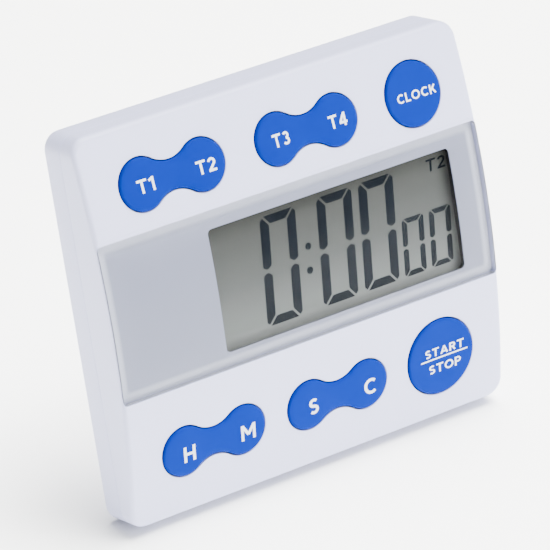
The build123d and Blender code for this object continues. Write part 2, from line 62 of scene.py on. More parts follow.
# %% Work out the face plane from the frame
MM = 0.001
PAD_DEPTH = 4.2                      # the pad on the back stands this far behind the rear rim

ACROSS = Vector((1, 0, 0))
UP = Vector(joints["t1_t2_rock"]["axis"]).normalized()
OUT = -Vector(joints["clock_press"]["axis"]).normalized()


def reach(node, direction):
    """How far a CAD node reaches along a direction, lowest and highest."""
    places = [corner.co.dot(direction) for corner in nodes[node].data.vertices]
    return min(places), max(places)


low_rise, high_rise = reach("rear_shell", UP)
pad_back = reach("rear_shell", OUT)[0]
origin = UP * (low_rise + high_rise) / 2 + OUT * (pad_back + PAD_DEPTH * MM)
FACE = Matrix.Translation(origin) @ Matrix((ACROSS, UP, OUT)).transposed().to_4x4() @ Matrix.Scale(MM, 4)
HEIGHT = (high_rise - low_rise) / MM
WIDTH = (reach("rear_shell", ACROSS)[1] - reach("rear_shell", ACROSS)[0]) / MM
print("case", round(WIDTH, 2), "by", round(HEIGHT, 2), "mm")

# %% [markdown]
# The face is a shallow barrel. One formula gives its depth at any rise, and every piece that follows the
# face uses it: the shell, the lens, the printed mask, the tops of the keys and their legends.

# %% The barrel face
CORNER_R = 3.0
CROWN_R, APEX_DEPTH, APEX_RISE = 140.5, 11.7, 1.66
SPLIT_DEPTH = 4.48                   # where the two shells meet
WALL = 1.6
FRONT_FOLD = 0.9                     # rounding of the front edge
RIM_DEPTH = -0.4                     # the rear rim


def crown(rise, drop=0.0):
    """Depth of the face at a rise, or of the same face lowered by drop."""
    return APEX_DEPTH - CROWN_R + sqrt((CROWN_R - drop) ** 2 - (rise - APEX_RISE) ** 2)


def inset(x, y):
    """How far a point lies inside the outline of the case."""
    over_x, over_y = abs(x) - (WIDTH / 2 - CORNER_R), abs(y) - (HEIGHT / 2 - CORNER_R)
    return CORNER_R - hypot(max(over_x, 0), max(over_y, 0)) - min(max(over_x, over_y), 0)


def face(x, y):
    """The outer surface: the barrel, and the soft edge round it."""
    near = min(max(inset(x, y), 0), FRONT_FOLD)
    return crown(y) - FRONT_FOLD + sqrt(FRONT_FOLD ** 2 - (FRONT_FOLD - near) ** 2)


print("face depth at its top edge", round(crown(HEIGHT / 2), 2), "mm")

# %% [markdown]
# ## Outlines
# Every opening and every key is an outline that can grow or shrink: growing the same outline by a little
# each time gives the rings of a rounded edge. Two outlines drawn by one function always have the same
# number of points, so two rings can be joined by plain four-sided faces.

# %% Outlines that can grow
def arc(cx, cy, radius, start, end, steps):
    """Points of an arc, without the last one."""
    return [(cx + radius * cos(start + (end - start) * i / steps),
             cy + radius * sin(start + (end - start) * i / steps)) for i in range(steps)]


def rounded(width, height, radius, x=0.0, y=0.0, steps=8, sides=(40, 20)):
    """A rounded rectangle whose straight sides are divided, so that they can bend with the face."""
    def draw(grow=0.0):
        across, along, r = width / 2 - radius, height / 2 - radius, radius + grow
        points = []
        for turn, (sx, sy) in enumerate(((1, 1), (-1, 1), (-1, -1), (1, -1))):
            cx, cy = x + sx * across, y + sy * along
            points += arc(cx, cy, r, turn * pi / 2, (turn + 1) * pi / 2, steps)
            end = (cx + r * cos((turn + 1) * pi / 2), cy + r * sin((turn + 1) * pi / 2))
            length, count = (2 * across, sides[0]) if turn % 2 == 0 else (2 * along, sides[1])
            run = (-sx * length, 0) if turn % 2 == 0 else (0, -sy * length)
            points += [(end[0] + run[0] * i / count, end[1] + run[1] * i / count) for i in range(count)]
        return points
    return draw


def disc(x, y, radius, steps=72):
    """A circle."""
    def draw(grow=0.0):
        return arc(x, y, radius + grow, 0, tau, steps)
    return draw


LOBE_R, LOBE_OFFSET, WAIST = 4.3, 5.75, 4.8


def dumbbell(x, y, steps=36, waist_steps=16):
    """Two round lobes joined by a waist, all in arcs that meet without a corner."""
    half = WAIST / 2
    waist_r = (LOBE_OFFSET ** 2 + half ** 2 - LOBE_R ** 2) / (2 * (LOBE_R - half))
    lean = atan2(half + waist_r, LOBE_OFFSET)

    def draw(grow=0.0):
        lobe, waist, far = LOBE_R + grow, waist_r - grow, half + waist_r
        return (arc(x + LOBE_OFFSET, y, lobe, lean - pi, pi - lean, steps)
                + arc(x, y + far, waist, -lean, lean - pi, waist_steps)
                + arc(x - LOBE_OFFSET, y, lobe, lean, tau - lean, steps)
                + arc(x, y - far, waist, pi - lean, lean, waist_steps))
    return draw


LENS_W, LENS_H, LENS_RISE, LENS_R = 75.25, 26.75, 2.5, 0.6
LENS_T, MASK_T, LENS_GAP = 1.2, 0.2, 0.1
WINDOW_W, WINDOW_H, WINDOW_X, WINDOW_RISE, WINDOW_R = 48.7, 21.1, 7.75, 2.0, 0.8
TOP_ROW, BOTTOM_ROW = 23.42, -22.23
case_outline = rounded(WIDTH, HEIGHT, CORNER_R, sides=(50, 46))
lens_outline = rounded(LENS_W, LENS_H, LENS_R, 0, LENS_RISE, steps=6, sides=(50, 20))
window_outline = rounded(WINDOW_W, WINDOW_H, WINDOW_R, WINDOW_X, WINDOW_RISE, steps=6, sides=(50, 20))
ROCKERS = {"t1_t2": (-21.25, TOP_ROW), "t3_t4": (5.13, TOP_ROW),
           "h_m": (-21.4, BOTTOM_ROW), "s_c": (3.45, BOTTOM_ROW)}
BUTTONS = {"clock": (26.8, TOP_ROW, 5.44), "start_stop": (24.83, BOTTOM_ROW, 6.69)}
print("points round the case:", len(case_outline()), "and round a rocker:", len(dumbbell(0, 0)()))

# %% [markdown]
# ## Rings, strips and fills
# Three small tools make all the curved shells. A ring lays an outline at a depth, a strip joins two
# rings, and a fill covers the flat or domed region between an outer ring and its holes with triangles
# from a Delaunay triangulation, which gives an even mesh however odd the holes are.

# %% Rings and strips

def ring(mesh, outline, depth):
    """Vertices along an outline. depth is a number or a function of x and rise."""
    return [mesh.verts.new((x, y, depth(x, y) if callable(depth) else depth)) for x, y in outline]


def strip(mesh, first, second):
    """Four-sided faces between two rings of the same length."""
    count = len(first)
    for i in range(count):
        mesh.faces.new((first[i], first[(i + 1) % count], second[(i + 1) % count], second[i]))


def strips(mesh, rings):
    """Faces between each ring and the next."""
    for first, second in zip(rings, rings[1:]):
        strip(mesh, first, second)


print("rings and strips are ready")

# %% [markdown]
# A triangulation needs three things: the edges it must keep, the points it may use, and a test of which
# triangles lie between the outer ring and the holes. The inner points sit on a square grid, away from the
# edges. Their depth is worked out only afterwards, so the same fill makes flat and domed skins.

# %% Fill between a ring and its holes
HOLE_CLEARANCE = 0.12                # a contour stops this far from a hole
EDGE_SHARE = 0.45                    # inner points keep this share of the spacing from the edges
LEVEL_EDGE = 1e-12                   # stands in for the height of a level edge
SAME_PLACE = 1e-6


def inside(points, loop):
    """Which of the points lie inside a closed loop."""
    px, py = points[:, 0:1], points[:, 1:2]
    ax, ay = loop[:, 0], loop[:, 1]
    bx, by = np.roll(ax, -1), np.roll(ay, -1)
    crosses = (ay > py) != (by > py)
    rise = np.where(by == ay, LEVEL_EDGE, by - ay)
    return (crosses & (px < (bx - ax) * (py - ay) / rise + ax)).sum(1) % 2 == 1


def fill(mesh, outer, holes, depth, spacing, extra_rows=(), contours=()):
    """Triangles between an outer ring and its holes, with inner points at an even spacing.
    Contours are lines that the triangles follow where they don't run into a hole."""
    loops = [outer] + list(holes)
    flat = [np.array([vertex.co[:2] for vertex in loop]) for loop in loops]
    low, high = flat[0].min(0), flat[0].max(0)
    rows = np.concatenate([np.arange(low[1] + spacing, high[1], spacing), np.array(extra_rows, float)])
    columns = np.arange(low[0] + spacing / 2, high[0], spacing)
    grid = np.array([(x, y) for y in rows for x in columns])
    keep = inside(grid, flat[0])
    edge = np.concatenate(flat)
    for loop in flat[1:]:
        keep &= ~inside(grid, loop)
    edges, start = [], 0
    for loop in flat:
        edges += [(start + i, start + (i + 1) % len(loop)) for i in range(len(loop))]
        start += len(loop)
    kept = []
    for line in contours:
        line = np.array(line)
        free = np.ones(len(line), bool)
        for loop in flat[1:]:
            near = np.sqrt(((line[:, None, :] - loop[None, :, :]) ** 2).sum(2)).min(1)
            free &= ~inside(line, loop) & (near > HOLE_CLEARANCE)
        index = np.cumsum(free) - 1 + start + len(kept)
        edges += [(index[i - 1], index[i]) for i in range(len(line)) if free[i] and free[i - 1]]
        kept += [tuple(point) for point in line[free]]
    fixed = np.concatenate([edge, np.array(kept).reshape(-1, 2)])
    gap = np.sqrt(((grid[:, None, :] - fixed[None, :, :]) ** 2).sum(2)).min(1)
    grid = grid[keep & (gap > spacing * EDGE_SHARE)]
    edges = [(int(a), int(b)) for a, b in edges if int(a) != int(b)]
    points = [Vector(p) for p in fixed] + [Vector(p) for p in grid]
    places, _, faces, sources, _, _ = delaunay_2d_cdt(points, edges, [], 0, SAME_PLACE)
    known = [vertex for loop in loops for vertex in loop]
    made = [known[source[0]] if source and source[0] < len(known) else None for source in sources]
    middles = np.array([np.mean([places[i] for i in face], axis=0) for face in faces])
    wanted = inside(middles, flat[0])
    for loop in flat[1:]:
        wanted &= ~inside(middles, loop)
    for face, use in zip(faces, wanted):
        if use:
            for i in face:
                if made[i] is None:
                    x, y = places[i]
                    made[i] = mesh.verts.new((x, y, depth(x, y) if callable(depth) else depth))
            mesh.faces.new([made[i] for i in face])


print("fills keep", HOLE_CLEARANCE, "mm from a hole")

# %% [markdown]
# A mould leaves no sharp edges. A rounded edge is a few rings on a quarter circle: each one is a little
# further out and a little lower. The last tool turns a drawing on the face plane into a finished object:
# it merges doubles, points the faces outwards, and moves the mesh, not the object, to its place.

# %% Rounded edges and finished objects
WELD = 1e-5


def round_edge(mesh, outline, surface, radius, grow_at, steps=6, outward=-1):
    """Rings of a rounded edge. It starts on the surface and ends on a wall that goes down.
    outward -1 is an edge that the surface lies inside of, and 1 the rim of a hole."""
    rings = []
    for step in range(steps + 1):
        angle = pi / 2 * step / steps
        inset = radius * (1 - sin(angle))
        fall = radius * (1 - cos(angle))
        grown = outline(grow_at + outward * inset)
        rings.append(ring(mesh, grown, lambda x, y, fall=fall: surface(x, y) - fall))
    return rings


def finish_mesh(mesh, name, sharp=35.0, place=FACE):
    """Turns a mesh on the face plane into an object at the world origin, with its faces outwards."""
    bmesh.ops.remove_doubles(mesh, verts=mesh.verts[:], dist=WELD)
    bmesh.ops.recalc_face_normals(mesh, faces=mesh.faces[:])
    data = bpy.data.meshes.new(name)
    mesh.transform(place)
    mesh.to_mesh(data)
    mesh.free()
    piece = bpy.data.objects.new(name, data)
    bpy.context.scene.collection.objects.link(piece)
    data.shade_smooth()
    data.set_sharp_from_angle(angle=radians(sharp))
    return piece


print("meshes are welded at", WELD, "mm")

# %% [markdown]
# ## Materials
# Every finish is a small node tree: one Principled shader, and noise that reads Object coordinates and
# moves the colour, the roughness and a fine bump. Sizes in the noise are in millimetres, because the
# coordinates are multiplied by a thousand first, so a grain of 0.3 mm stays 0.3 mm on every part.

# %% A helper for moulded and pressed finishes
ROUGH_VARY = 0.06


def finish(name, colour, roughness, grain=0.4, bump=0.02, vary=0.03, cloud=6.0, **sockets):
    """A material with fine grain in its bump and slow changes in its colour and roughness."""
    material = bpy.data.materials.new(name)
    material.use_nodes = True
    tree = material.node_tree
    shader = tree.nodes["Principled BSDF"]
    coordinates = tree.nodes.new("ShaderNodeTexCoord")
    scale = tree.nodes.new("ShaderNodeMapping")
    scale.inputs["Scale"].default_value = (1 / MM, 1 / MM, 1 / MM)
    tree.links.new(coordinates.outputs["Object"], scale.inputs["Vector"])

    def noise(size, detail):
        node = tree.nodes.new("ShaderNodeTexNoise")
        node.inputs["Scale"].default_value = 1 / size
        node.inputs["Detail"].default_value = detail
        tree.links.new(scale.outputs["Vector"], node.inputs["Vector"])
        return node

    slow, fine = noise(cloud, 3), noise(grain, 2)
    tint = tree.nodes.new("ShaderNodeMix")
    tint.data_type = "RGBA"
    tint.inputs["A"].default_value = (*[channel * (1 - vary) for channel in colour], 1)
    tint.inputs["B"].default_value = (*[min(channel * (1 + vary), 1) for channel in colour], 1)
    tree.links.new(slow.outputs["Fac"], tint.inputs["Factor"])
    tree.links.new(tint.outputs["Result"], shader.inputs["Base Color"])
    rough = tree.nodes.new("ShaderNodeMapRange")
    rough.inputs["To Min"].default_value = roughness - ROUGH_VARY
    rough.inputs["To Max"].default_value = roughness + ROUGH_VARY
    tree.links.new(fine.outputs["Fac"], rough.inputs["Value"])
    tree.links.new(rough.outputs["Result"], shader.inputs["Roughness"])
    relief = tree.nodes.new("ShaderNodeBump")
    relief.inputs["Strength"].default_value = 1.0
    relief.inputs["Distance"].default_value = bump * MM
    tree.links.new(fine.outputs["Fac"], relief.inputs["Height"])
    tree.links.new(relief.outputs["Normal"], shader.inputs["Normal"])
    for socket, value in sockets.items():
        shader.inputs[socket.replace("_", " ")].default_value = value
    return material


def wear(piece, material, *, body, stands_for=()):
    """Gives a finished piece its material and its body, and hides the CAD nodes that it stands for."""
    piece.data.materials.clear()
    piece.data.materials.append(material)
    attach(piece, body)
    if stands_for:
        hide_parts(*stands_for)
    return piece


print("roughness moves by", ROUGH_VARY)

# %% [markdown]
# The case is bright, slightly cool ABS with a satin skin. The keys are a deep blue ABS. Their specular
# level is kept low, because white light on their skin would turn the blue pale. Their legends are
# pad-printed white ink. The rest are plain moulded, rubber and metal finishes.

# %% The finishes of this timer
case_white = finish("case_white", (0.665, 0.69, 0.965), 0.38, grain=0.35, bump=0.006, vary=0.012)
stand_white = finish("stand_white", (0.72, 0.755, 0.90), 0.42, grain=0.3, bump=0.012, vary=0.015)
key_blue = finish("key_blue", (0.0, 0.018, 0.235), 0.38, grain=0.3, bump=0.005, vary=0.05, cloud=3.0,
                  Specular_IOR_Level=0.02)
legend_white = finish("legend_white", (0.86, 0.90, 0.95), 0.5, grain=0.1, bump=0.004, vary=0.02)
foot_rubber = finish("foot_rubber", (0.11, 0.115, 0.12), 0.75, grain=0.25, bump=0.03, vary=0.1)
mat_rubber = finish("mat_rubber", (0.62, 0.62, 0.58), 0.7, grain=0.3, bump=0.01)
strip_rubber = finish("strip_rubber", (0.55, 0.25, 0.28), 0.7, grain=0.2, bump=0.01)
# black rubber of the door seal, and also painted shade on the sleeve round the display window
seal_rubber = finish("seal_rubber", (0.02, 0.02, 0.022), 0.6, grain=0.2, bump=0.01)
frame_white = finish("frame_white", (0.6, 0.61, 0.62), 0.5, grain=0.3, bump=0.01)
board_green = finish("board_green", (0.02, 0.14, 0.05), 0.35, grain=0.8, bump=0.01, vary=0.12, cloud=4.0)
chip_black = finish("chip_black", (0.012, 0.012, 0.014), 0.25, grain=1.2, bump=0.03)
part_tan = finish("part_tan", (0.32, 0.22, 0.13), 0.5, grain=0.15, bump=0.01)
bright_steel = finish("bright_steel", (0.62, 0.62, 0.63), 0.22, grain=0.15, bump=0.004, Metallic=1.0)
screw_zinc = finish("screw_zinc", (0.5, 0.51, 0.53), 0.32, grain=0.2, bump=0.008, Metallic=1.0)
spring_steel = finish("spring_steel", (0.45, 0.45, 0.46), 0.3, grain=0.1, bump=0.004, Metallic=1.0)
buzzer_brass = finish("buzzer_brass", (0.62, 0.42, 0.14), 0.3, grain=0.3, bump=0.006, Metallic=1.0)
buzzer_cream = finish("buzzer_cream", (0.68, 0.66, 0.58), 0.45, grain=0.2, bump=0.006)
magnet_nickel = finish("magnet_nickel", (0.6, 0.59, 0.57), 0.16, grain=0.6, bump=0.006, vary=0.05,
                       Metallic=1.0)
print(len(bpy.data.materials), "finishes so far")

# %% [markdown]
# ## Front shell
# The real shell is one moulding: a domed face with a soft edge, a shallow pocket for the lens and six
# openings for the keys. It could be cut with booleans, but their edges are hard to round. Here it is
# built from rings instead, so each edge has its own small radius and the surface between stays smooth.

# %% Sizes of the front shell
KEY_GAP = 0.2
RIM_R = 0.14                         # rounding of the key openings
LENS_RIM_R = 0.06
LIP, LIP_DROP = 0.6, 0.08            # the narrow lip above the lens
PRINT_PLAY = 0.05                    # room behind the print
LENS_FLOOR = LENS_T + MASK_T + PRINT_PLAY
SHELF_T = 1.0
APERTURE_GROW = 0.6                  # the opening under the mask is wider than the printed window
GROOVE = 0.12                        # half of the fine groove at the parting line
FOOT_BAND = 1.0                      # the plain band of wall above that groove
LEVEL_STEP = 0.05                    # half the run of the step between the two wall depths
FOLD_SPLIT = 3                       # the rows nearest the wall are rings, the others are contours
FACE_SPACING, INNER_SPACING = 1.3, 2.6
zone_edges = (LENS_RISE - LENS_H / 2 - WALL, LENS_RISE + LENS_H / 2 + WALL)
key_outlines = [dumbbell(*spot) for spot in ROCKERS.values()]
key_outlines += [disc(x, y, radius) for x, y, radius in BUTTONS.values()]


def under_face(x, y):
    """The inner surface of the shell: thin behind the keys, deeper behind the lens."""
    behind_lens = zone_edges[0] < y < zone_edges[1]
    return crown(y, LENS_FLOOR + SHELF_T if behind_lens else WALL)


def lens_mouth(grow):
    """The mouth of the lens pocket. It is higher than the lens, where the real pocket has a lip."""
    top = LENS_RISE + LENS_H / 2 - LENS_R
    return [(x, y + LIP * min(max((y - top) / LENS_R, 0), 1)) for x, y in lens_outline(grow)]


def fold_rows(count=8):
    """Insets of the rows that follow the soft front edge, from the wall inwards."""
    return [FRONT_FOLD * (1 - cos(pi / 2 * i / count)) for i in range(count + 1)]


print("wall", WALL, "mm, floor of the lens pocket", round(LENS_FLOOR, 2), "mm down")


# %% Build the front shell
def build_front_shell():
    """Wall, soft edge, face with its openings, lens pocket and inner skin, as one closed mesh."""
    mesh = bmesh.new()
    rows = fold_rows()
    edge = [ring(mesh, case_outline(-row), face) for row in rows[:FOLD_SPLIT]]
    foot = [ring(mesh, case_outline(0), SPLIT_DEPTH + rise) for rise in (FOOT_BAND, GROOVE)]
    lip = ring(mesh, case_outline(-GROOVE), SPLIT_DEPTH)
    inner_foot = ring(mesh, case_outline(-WALL), SPLIT_DEPTH)
    inner_top = ring(mesh, case_outline(-WALL), under_face)
    strips(mesh, list(reversed(edge)) + foot + [lip, inner_foot, inner_top])
    outer_holes, inner_holes = [], []
    for outline in key_outlines:
        rim = round_edge(mesh, outline, face, RIM_R, KEY_GAP, steps=5, outward=1)
        strips(mesh, rim)
        deep = ring(mesh, outline(KEY_GAP), under_face)
        strip(mesh, rim[-1], deep)
        outer_holes.append(rim[0])
        inner_holes.append(deep)
    rim = round_edge(mesh, lens_mouth, face, LENS_RIM_R, LENS_GAP, steps=3, outward=1)
    ledge = ring(mesh, lens_outline(LENS_GAP), lambda x, y: crown(y, LIP_DROP))
    shelf = ring(mesh, lens_outline(LENS_GAP), lambda x, y: crown(y, LENS_FLOOR))
    mouth = ring(mesh, window_outline(APERTURE_GROW), lambda x, y: crown(y, LENS_FLOOR))
    mouth_foot = ring(mesh, window_outline(APERTURE_GROW), under_face)
    strips(mesh, rim + [ledge, shelf, mouth, mouth_foot])
    fold_lines = [case_outline(-row) for row in rows[FOLD_SPLIT:]]
    fill(mesh, edge[-1], outer_holes + [rim[0]], face, FACE_SPACING, contours=fold_lines)
    steps = [level + shift for level in zone_edges for shift in (-LEVEL_STEP, LEVEL_STEP)]
    fill(mesh, inner_top, inner_holes + [mouth_foot], under_face, INNER_SPACING, steps)
    return finish_mesh(mesh, "front_shell_moulding")


front_shell = wear(build_front_shell(), case_white, body="case",
                   stands_for=["front_shell"])
print("front shell:", len(front_shell.data.polygons), "faces")

# %% [markdown]
# ## Lens and printed mask
# The lens is a clear strip of acrylic with polished, slightly bevelled edges. Behind it lies the print:
# a grey field with a clear window. Near its edge the print's colour is painted paler, as painted light
# for the light that comes in through the bevel, so its material measures how far a point is from the edge
# of the strip.

# %% Build the lens and the mask
LENS_BEVEL = 0.16
LENS_SPACING, MASK_SPACING = 1.6, 2.0
MASK_INSET, MASK_CLEAR = 0.05, 0.01  # the print is a hair smaller than the lens, and a hair behind it


def build_lens():
    """The clear strip. Its bevel and sides get the second material, a dark grey that is painted shade for
    the gap round the lens.
    """
    mesh = bmesh.new()
    top = round_edge(mesh, lens_outline, lambda x, y: crown(y), LENS_BEVEL, 0.0, steps=4)
    foot = ring(mesh, lens_outline(0.0), lambda x, y: crown(y, LENS_T))
    strips(mesh, top + [foot])
    for side in mesh.faces:
        side.material_index = 1
    before = len(mesh.faces)
    fill(mesh, top[0], [], lambda x, y: crown(y), LENS_SPACING)
    fill(mesh, foot, [], lambda x, y: crown(y, LENS_T), LENS_SPACING)
    mesh.faces.ensure_lookup_table()
    for skin in mesh.faces[before:]:
        skin.material_index = 0
    return finish_mesh(mesh, "lens_strip", sharp=50)


def build_mask():
    """The printed sheet behind the lens, with its window."""
    mesh = bmesh.new()
    skins = []
    for drop in (LENS_T + MASK_CLEAR, LENS_T + MASK_T):
        outer = ring(mesh, lens_outline(-MASK_INSET), lambda x, y, drop=drop: crown(y, drop))
        inner = ring(mesh, window_outline(0.0), lambda x, y, drop=drop: crown(y, drop))
        fill(mesh, outer, [inner], lambda x, y, drop=drop: crown(y, drop), MASK_SPACING)
        skins.append((outer, inner))
    for upper, lower in zip(*skins):
        strip(mesh, upper, lower)
    return finish_mesh(mesh, "lens_print", sharp=50)


print("print", MASK_T, "mm behind a lens of", LENS_T, "mm")

# %% [markdown]
# Clear acrylic lets the print and the display show with almost no loss, and mirrors a little at low
# angles. A transparent shader mixed with a sharp gloss by a Fresnel node does that without the noise
# The print reads its place on the face, so its painted edge light follows the edge.


# %% Materials of the lens and the mask
def clear_plastic(name, tint, gloss=0.05, ior=1.12):
    """Clear sheet: see-through, with a mirror-like skin that grows at low angles."""
    material = bpy.data.materials.new(name)
    material.use_nodes = True
    tree = material.node_tree
    tree.nodes.remove(tree.nodes["Principled BSDF"])
    through = tree.nodes.new("ShaderNodeBsdfTransparent")
    through.inputs["Color"].default_value = (*tint, 1)
    mirror = tree.nodes.new("ShaderNodeBsdfGlossy")
    mirror.inputs["Roughness"].default_value = gloss
    fresnel = tree.nodes.new("ShaderNodeFresnel")
    fresnel.inputs["IOR"].default_value = ior
    blend = tree.nodes.new("ShaderNodeMixShader")
    tree.links.new(fresnel.outputs["Fac"], blend.inputs["Fac"])
    tree.links.new(through.outputs["BSDF"], blend.inputs[1])
    tree.links.new(mirror.outputs["BSDF"], blend.inputs[2])
    tree.links.new(blend.outputs["Shader"], tree.nodes["Material Output"].inputs["Surface"])
    return material


def face_coordinates(tree):
    """Coordinates on the face plane, in millimetres, from the piece's Object coordinates."""
    coordinates = tree.nodes.new("ShaderNodeTexCoord")
    separate = []
    for axis in (ACROSS, UP):
        along = tree.nodes.new("ShaderNodeVectorMath")
        along.operation = "DOT_PRODUCT"
        along.inputs[1].default_value = axis / MM
        tree.links.new(coordinates.outputs["Object"], along.inputs[0])
        shift = tree.nodes.new("ShaderNodeMath")
        shift.operation = "SUBTRACT"
        shift.inputs[1].default_value = origin.dot(axis) / MM
        tree.links.new(along.outputs["Value"], shift.inputs[0])
        separate.append(shift.outputs["Value"])
    return separate


def calc(tree, operation, *values):
    """One Math node fed by sockets or numbers."""
    node = tree.nodes.new("ShaderNodeMath")
    node.operation = operation
    for slot, value in zip(node.inputs, values):
        if isinstance(value, (int, float)):
            slot.default_value = value
        else:
            tree.links.new(value, slot)
    return node.outputs["Value"]


def ramp(tree, value, stops):
    """A colour ramp over a value."""
    node = tree.nodes.new("ShaderNodeValToRGB")
    while len(node.color_ramp.elements) < len(stops):
        node.color_ramp.elements.new(0.5)
    for element, (place, colour) in zip(node.color_ramp.elements, stops):
        element.position = place
        element.color = (*colour, 1)
    tree.links.new(value, node.inputs["Fac"])
    return node.outputs["Color"]


# painted light: the print is made paler within EDGE_REACH of the edge of the lens
EDGE_REACH, EDGE_BLEND = 6.0, 1.0     # the pale edge fades within this distance, round at its corners
PRINT_AND_EDGE_LIGHT_TONES = [(0.0, (0.64, 0.66, 0.76)), (0.2, (0.54, 0.56, 0.66)),
               (0.3, (0.29, 0.305, 0.41)), (1.0, (0.275, 0.29, 0.39))]


def mask_print_painted_edge_light():
    """A grey print with painted light: paler near the edge of the lens, for the light that comes in through
    the bevel.
    """
    material = finish("mask_print_painted_edge_light", (0.5, 0.5, 0.5), 0.55, grain=0.25, bump=0.002)
    tree = material.node_tree
    x, rise = face_coordinates(tree)
    to_side = calc(tree, "SUBTRACT", LENS_W / 2, calc(tree, "ABSOLUTE", x))
    from_middle = calc(tree, "ABSOLUTE", calc(tree, "SUBTRACT", rise, LENS_RISE))
    to_end = calc(tree, "SUBTRACT", LENS_H / 2, from_middle)
    near = calc(tree, "DIVIDE", calc(tree, "SMOOTH_MIN", to_side, to_end, EDGE_BLEND), EDGE_REACH)
    colour = ramp(tree, near, PRINT_AND_EDGE_LIGHT_TONES)
    tree.links.new(colour, tree.nodes["Principled BSDF"].inputs["Base Color"])
    return material


lens_clear = clear_plastic("lens_clear", (0.97, 0.975, 0.98))
# painted shade: the polished edges of the clear lens are coloured dark grey for the shaded gap round the
# lens
lens_edge_painted_shade = finish("lens_edge_painted_shade", (0.09, 0.095, 0.12), 0.3, grain=0.2, bump=0.002, vary=0.04)
lens = wear(build_lens(), lens_clear, body="case", stands_for=["lens"])
lens.data.materials.append(lens_edge_painted_shade)
mask = wear(build_mask(), mask_print_painted_edge_light(), body="case", stands_for=["lens_mask"])
print("lens:", len(lens.data.polygons), "faces, mask:", len(mask.data.polygons))

# %% [markdown]
# ## Display
# A liquid-crystal display is two thin glasses over a grey-green reflector. The figures are dark shapes
# between them. The timer shows only noughts, so one function draws the six outer bars of a figure, with
# mitres and fine gaps where they meet, and leans them over by the slant of the display.

# %% Draw a figure
GLASS_W, GLASS_H, GLASS_T, GLASS_FRONT = 51.5, 25.0, 0.9, 8.4
GLASS_R, GLASS_CHAMFER, GLASS_SPACING = 0.3, 0.1, 5.0
INK_LIFT, INK_T = 0.015, 0.02
SLANT = 0.09
FIGURE_FOOT = -7.33                  # the rise that all the figures stand on
MAIN_H, MAIN_W, MAIN_STROKE = 18.4, 7.1, 1.75
SMALL_H, SMALL_W, SMALL_STROKE = 9.9, 4.5, 1.08
MAIN_LEFTS = (-6.45, 4.92, 13.42)
SMALL_LEFTS = (21.7, 27.33)
# shares of a bar's width: the gap at a mitre, the height of a level bar and the cut of an outer corner,
# then the steeper and the flatter side of the point in the middle
BAR_GAP, LOW_BAR, CHIN = 0.15, 0.82, 0.28
POINT_IN, POINT_OUT = 0.7, 0.5
COLON_X, COLON_RISES, COLON_R = 2.7, (3.69, -0.39), 0.62


def slanted(x, y):
    """A point leant over by the slant of the display."""
    return (x + SLANT * y, y)


def figure(left, foot, width, height, stroke):
    """The six bars of a nought, as outlines. Neighbouring bars end in mitres with a gap between them."""
    x0, x1, x2, x3 = left, left + stroke, left + width - stroke, left + width
    y0, y1, y2, y3 = foot, foot + stroke * LOW_BAR, foot + height - stroke * LOW_BAR, foot + height
    middle, half, gap, chin = foot + height / 2, stroke / 2, BAR_GAP * stroke, stroke * CHIN
    inner, outer = half * POINT_IN + gap, half * POINT_OUT + gap
    top = [(x0 + chin + gap, y3), (x3 - chin - gap, y3), (x2 - gap, y2), (x1 + gap, y2)]
    base = [(x1 + gap, y1), (x2 - gap, y1), (x3 - chin - gap, y0), (x0 + chin + gap, y0)]
    upper_left = [(x0 + chin, y3 - gap), (x1, y2 - gap), (x1, middle + inner),
                  (x0 + half, middle + gap), (x0, middle + outer), (x0, y3 - chin - gap)]
    lower_left = [(x0, y0 + chin + gap), (x0, middle - outer), (x0 + half, middle - gap),
                  (x1, middle - inner), (x1, y1 + gap), (x0 + chin, y0 + gap)]
    upper_right, lower_right = ([(x0 + x3 - x, y) for x, y in reversed(bar)]
                                for bar in (upper_left, lower_left))
    return [[slanted(*corner) for corner in bar]
            for bar in (top, upper_right, lower_right, base, lower_left, upper_left)]


print("figures", MAIN_H, "and", SMALL_H, "mm high")


# %% Build the display glass and its figures
def inlay(mesh, outline, low, high):
    """A thin closed plate over an outline."""
    bottom, top = ring(mesh, outline, low), ring(mesh, outline, high)
    strip(mesh, bottom, top)
    mesh.faces.new(top)
    mesh.faces.new(list(reversed(bottom)))


def build_figures():
    """Every nought and the colon, as thin plates on the glass."""
    mesh = bmesh.new()
    low, high = GLASS_FRONT + INK_LIFT, GLASS_FRONT + INK_LIFT + INK_T
    outlines = []
    for left in MAIN_LEFTS:
        outlines += figure(left, FIGURE_FOOT, MAIN_W, MAIN_H, MAIN_STROKE)
    for left in SMALL_LEFTS:
        outlines += figure(left, FIGURE_FOOT, SMALL_W, SMALL_H, SMALL_STROKE)
    for rise in COLON_RISES:
        outlines.append(disc(*slanted(COLON_X, rise), COLON_R, steps=28)())
    for outline in outlines:
        inlay(mesh, outline, low, high)
    return finish_mesh(mesh, "display_figures")


def build_glass():
    """The front glass, with its edges ground off."""
    mesh = bmesh.new()
    outline = rounded(GLASS_W, GLASS_H, GLASS_R, WINDOW_X, WINDOW_RISE, steps=3, sides=(12, 8))
    back = GLASS_FRONT - GLASS_T
    rings = [ring(mesh, outline(grow), depth) for grow, depth in
             ((-GLASS_CHAMFER, back), (0, back + GLASS_CHAMFER),
              (0, GLASS_FRONT - GLASS_CHAMFER), (-GLASS_CHAMFER, GLASS_FRONT))]
    strips(mesh, rings)
    fill(mesh, rings[0], [], back, GLASS_SPACING)
    fill(mesh, rings[-1], [], GLASS_FRONT, GLASS_SPACING)
    return finish_mesh(mesh, "display_glass")


# painted shade: the ramp darkens the film towards the top of the window for the mask's shadow, and its
# lowest stop is painted light against the shade under the mask
FILM_TONES_PAINTED_SHADE = [(0.0, (0.30, 0.315, 0.30)), (0.1, (0.175, 0.186, 0.178)), (0.45, (0.098, 0.103, 0.098)),
              (0.85, (0.069, 0.071, 0.066)), (0.96, (0.05, 0.052, 0.046)), (1.0, (0.02, 0.02, 0.018))]


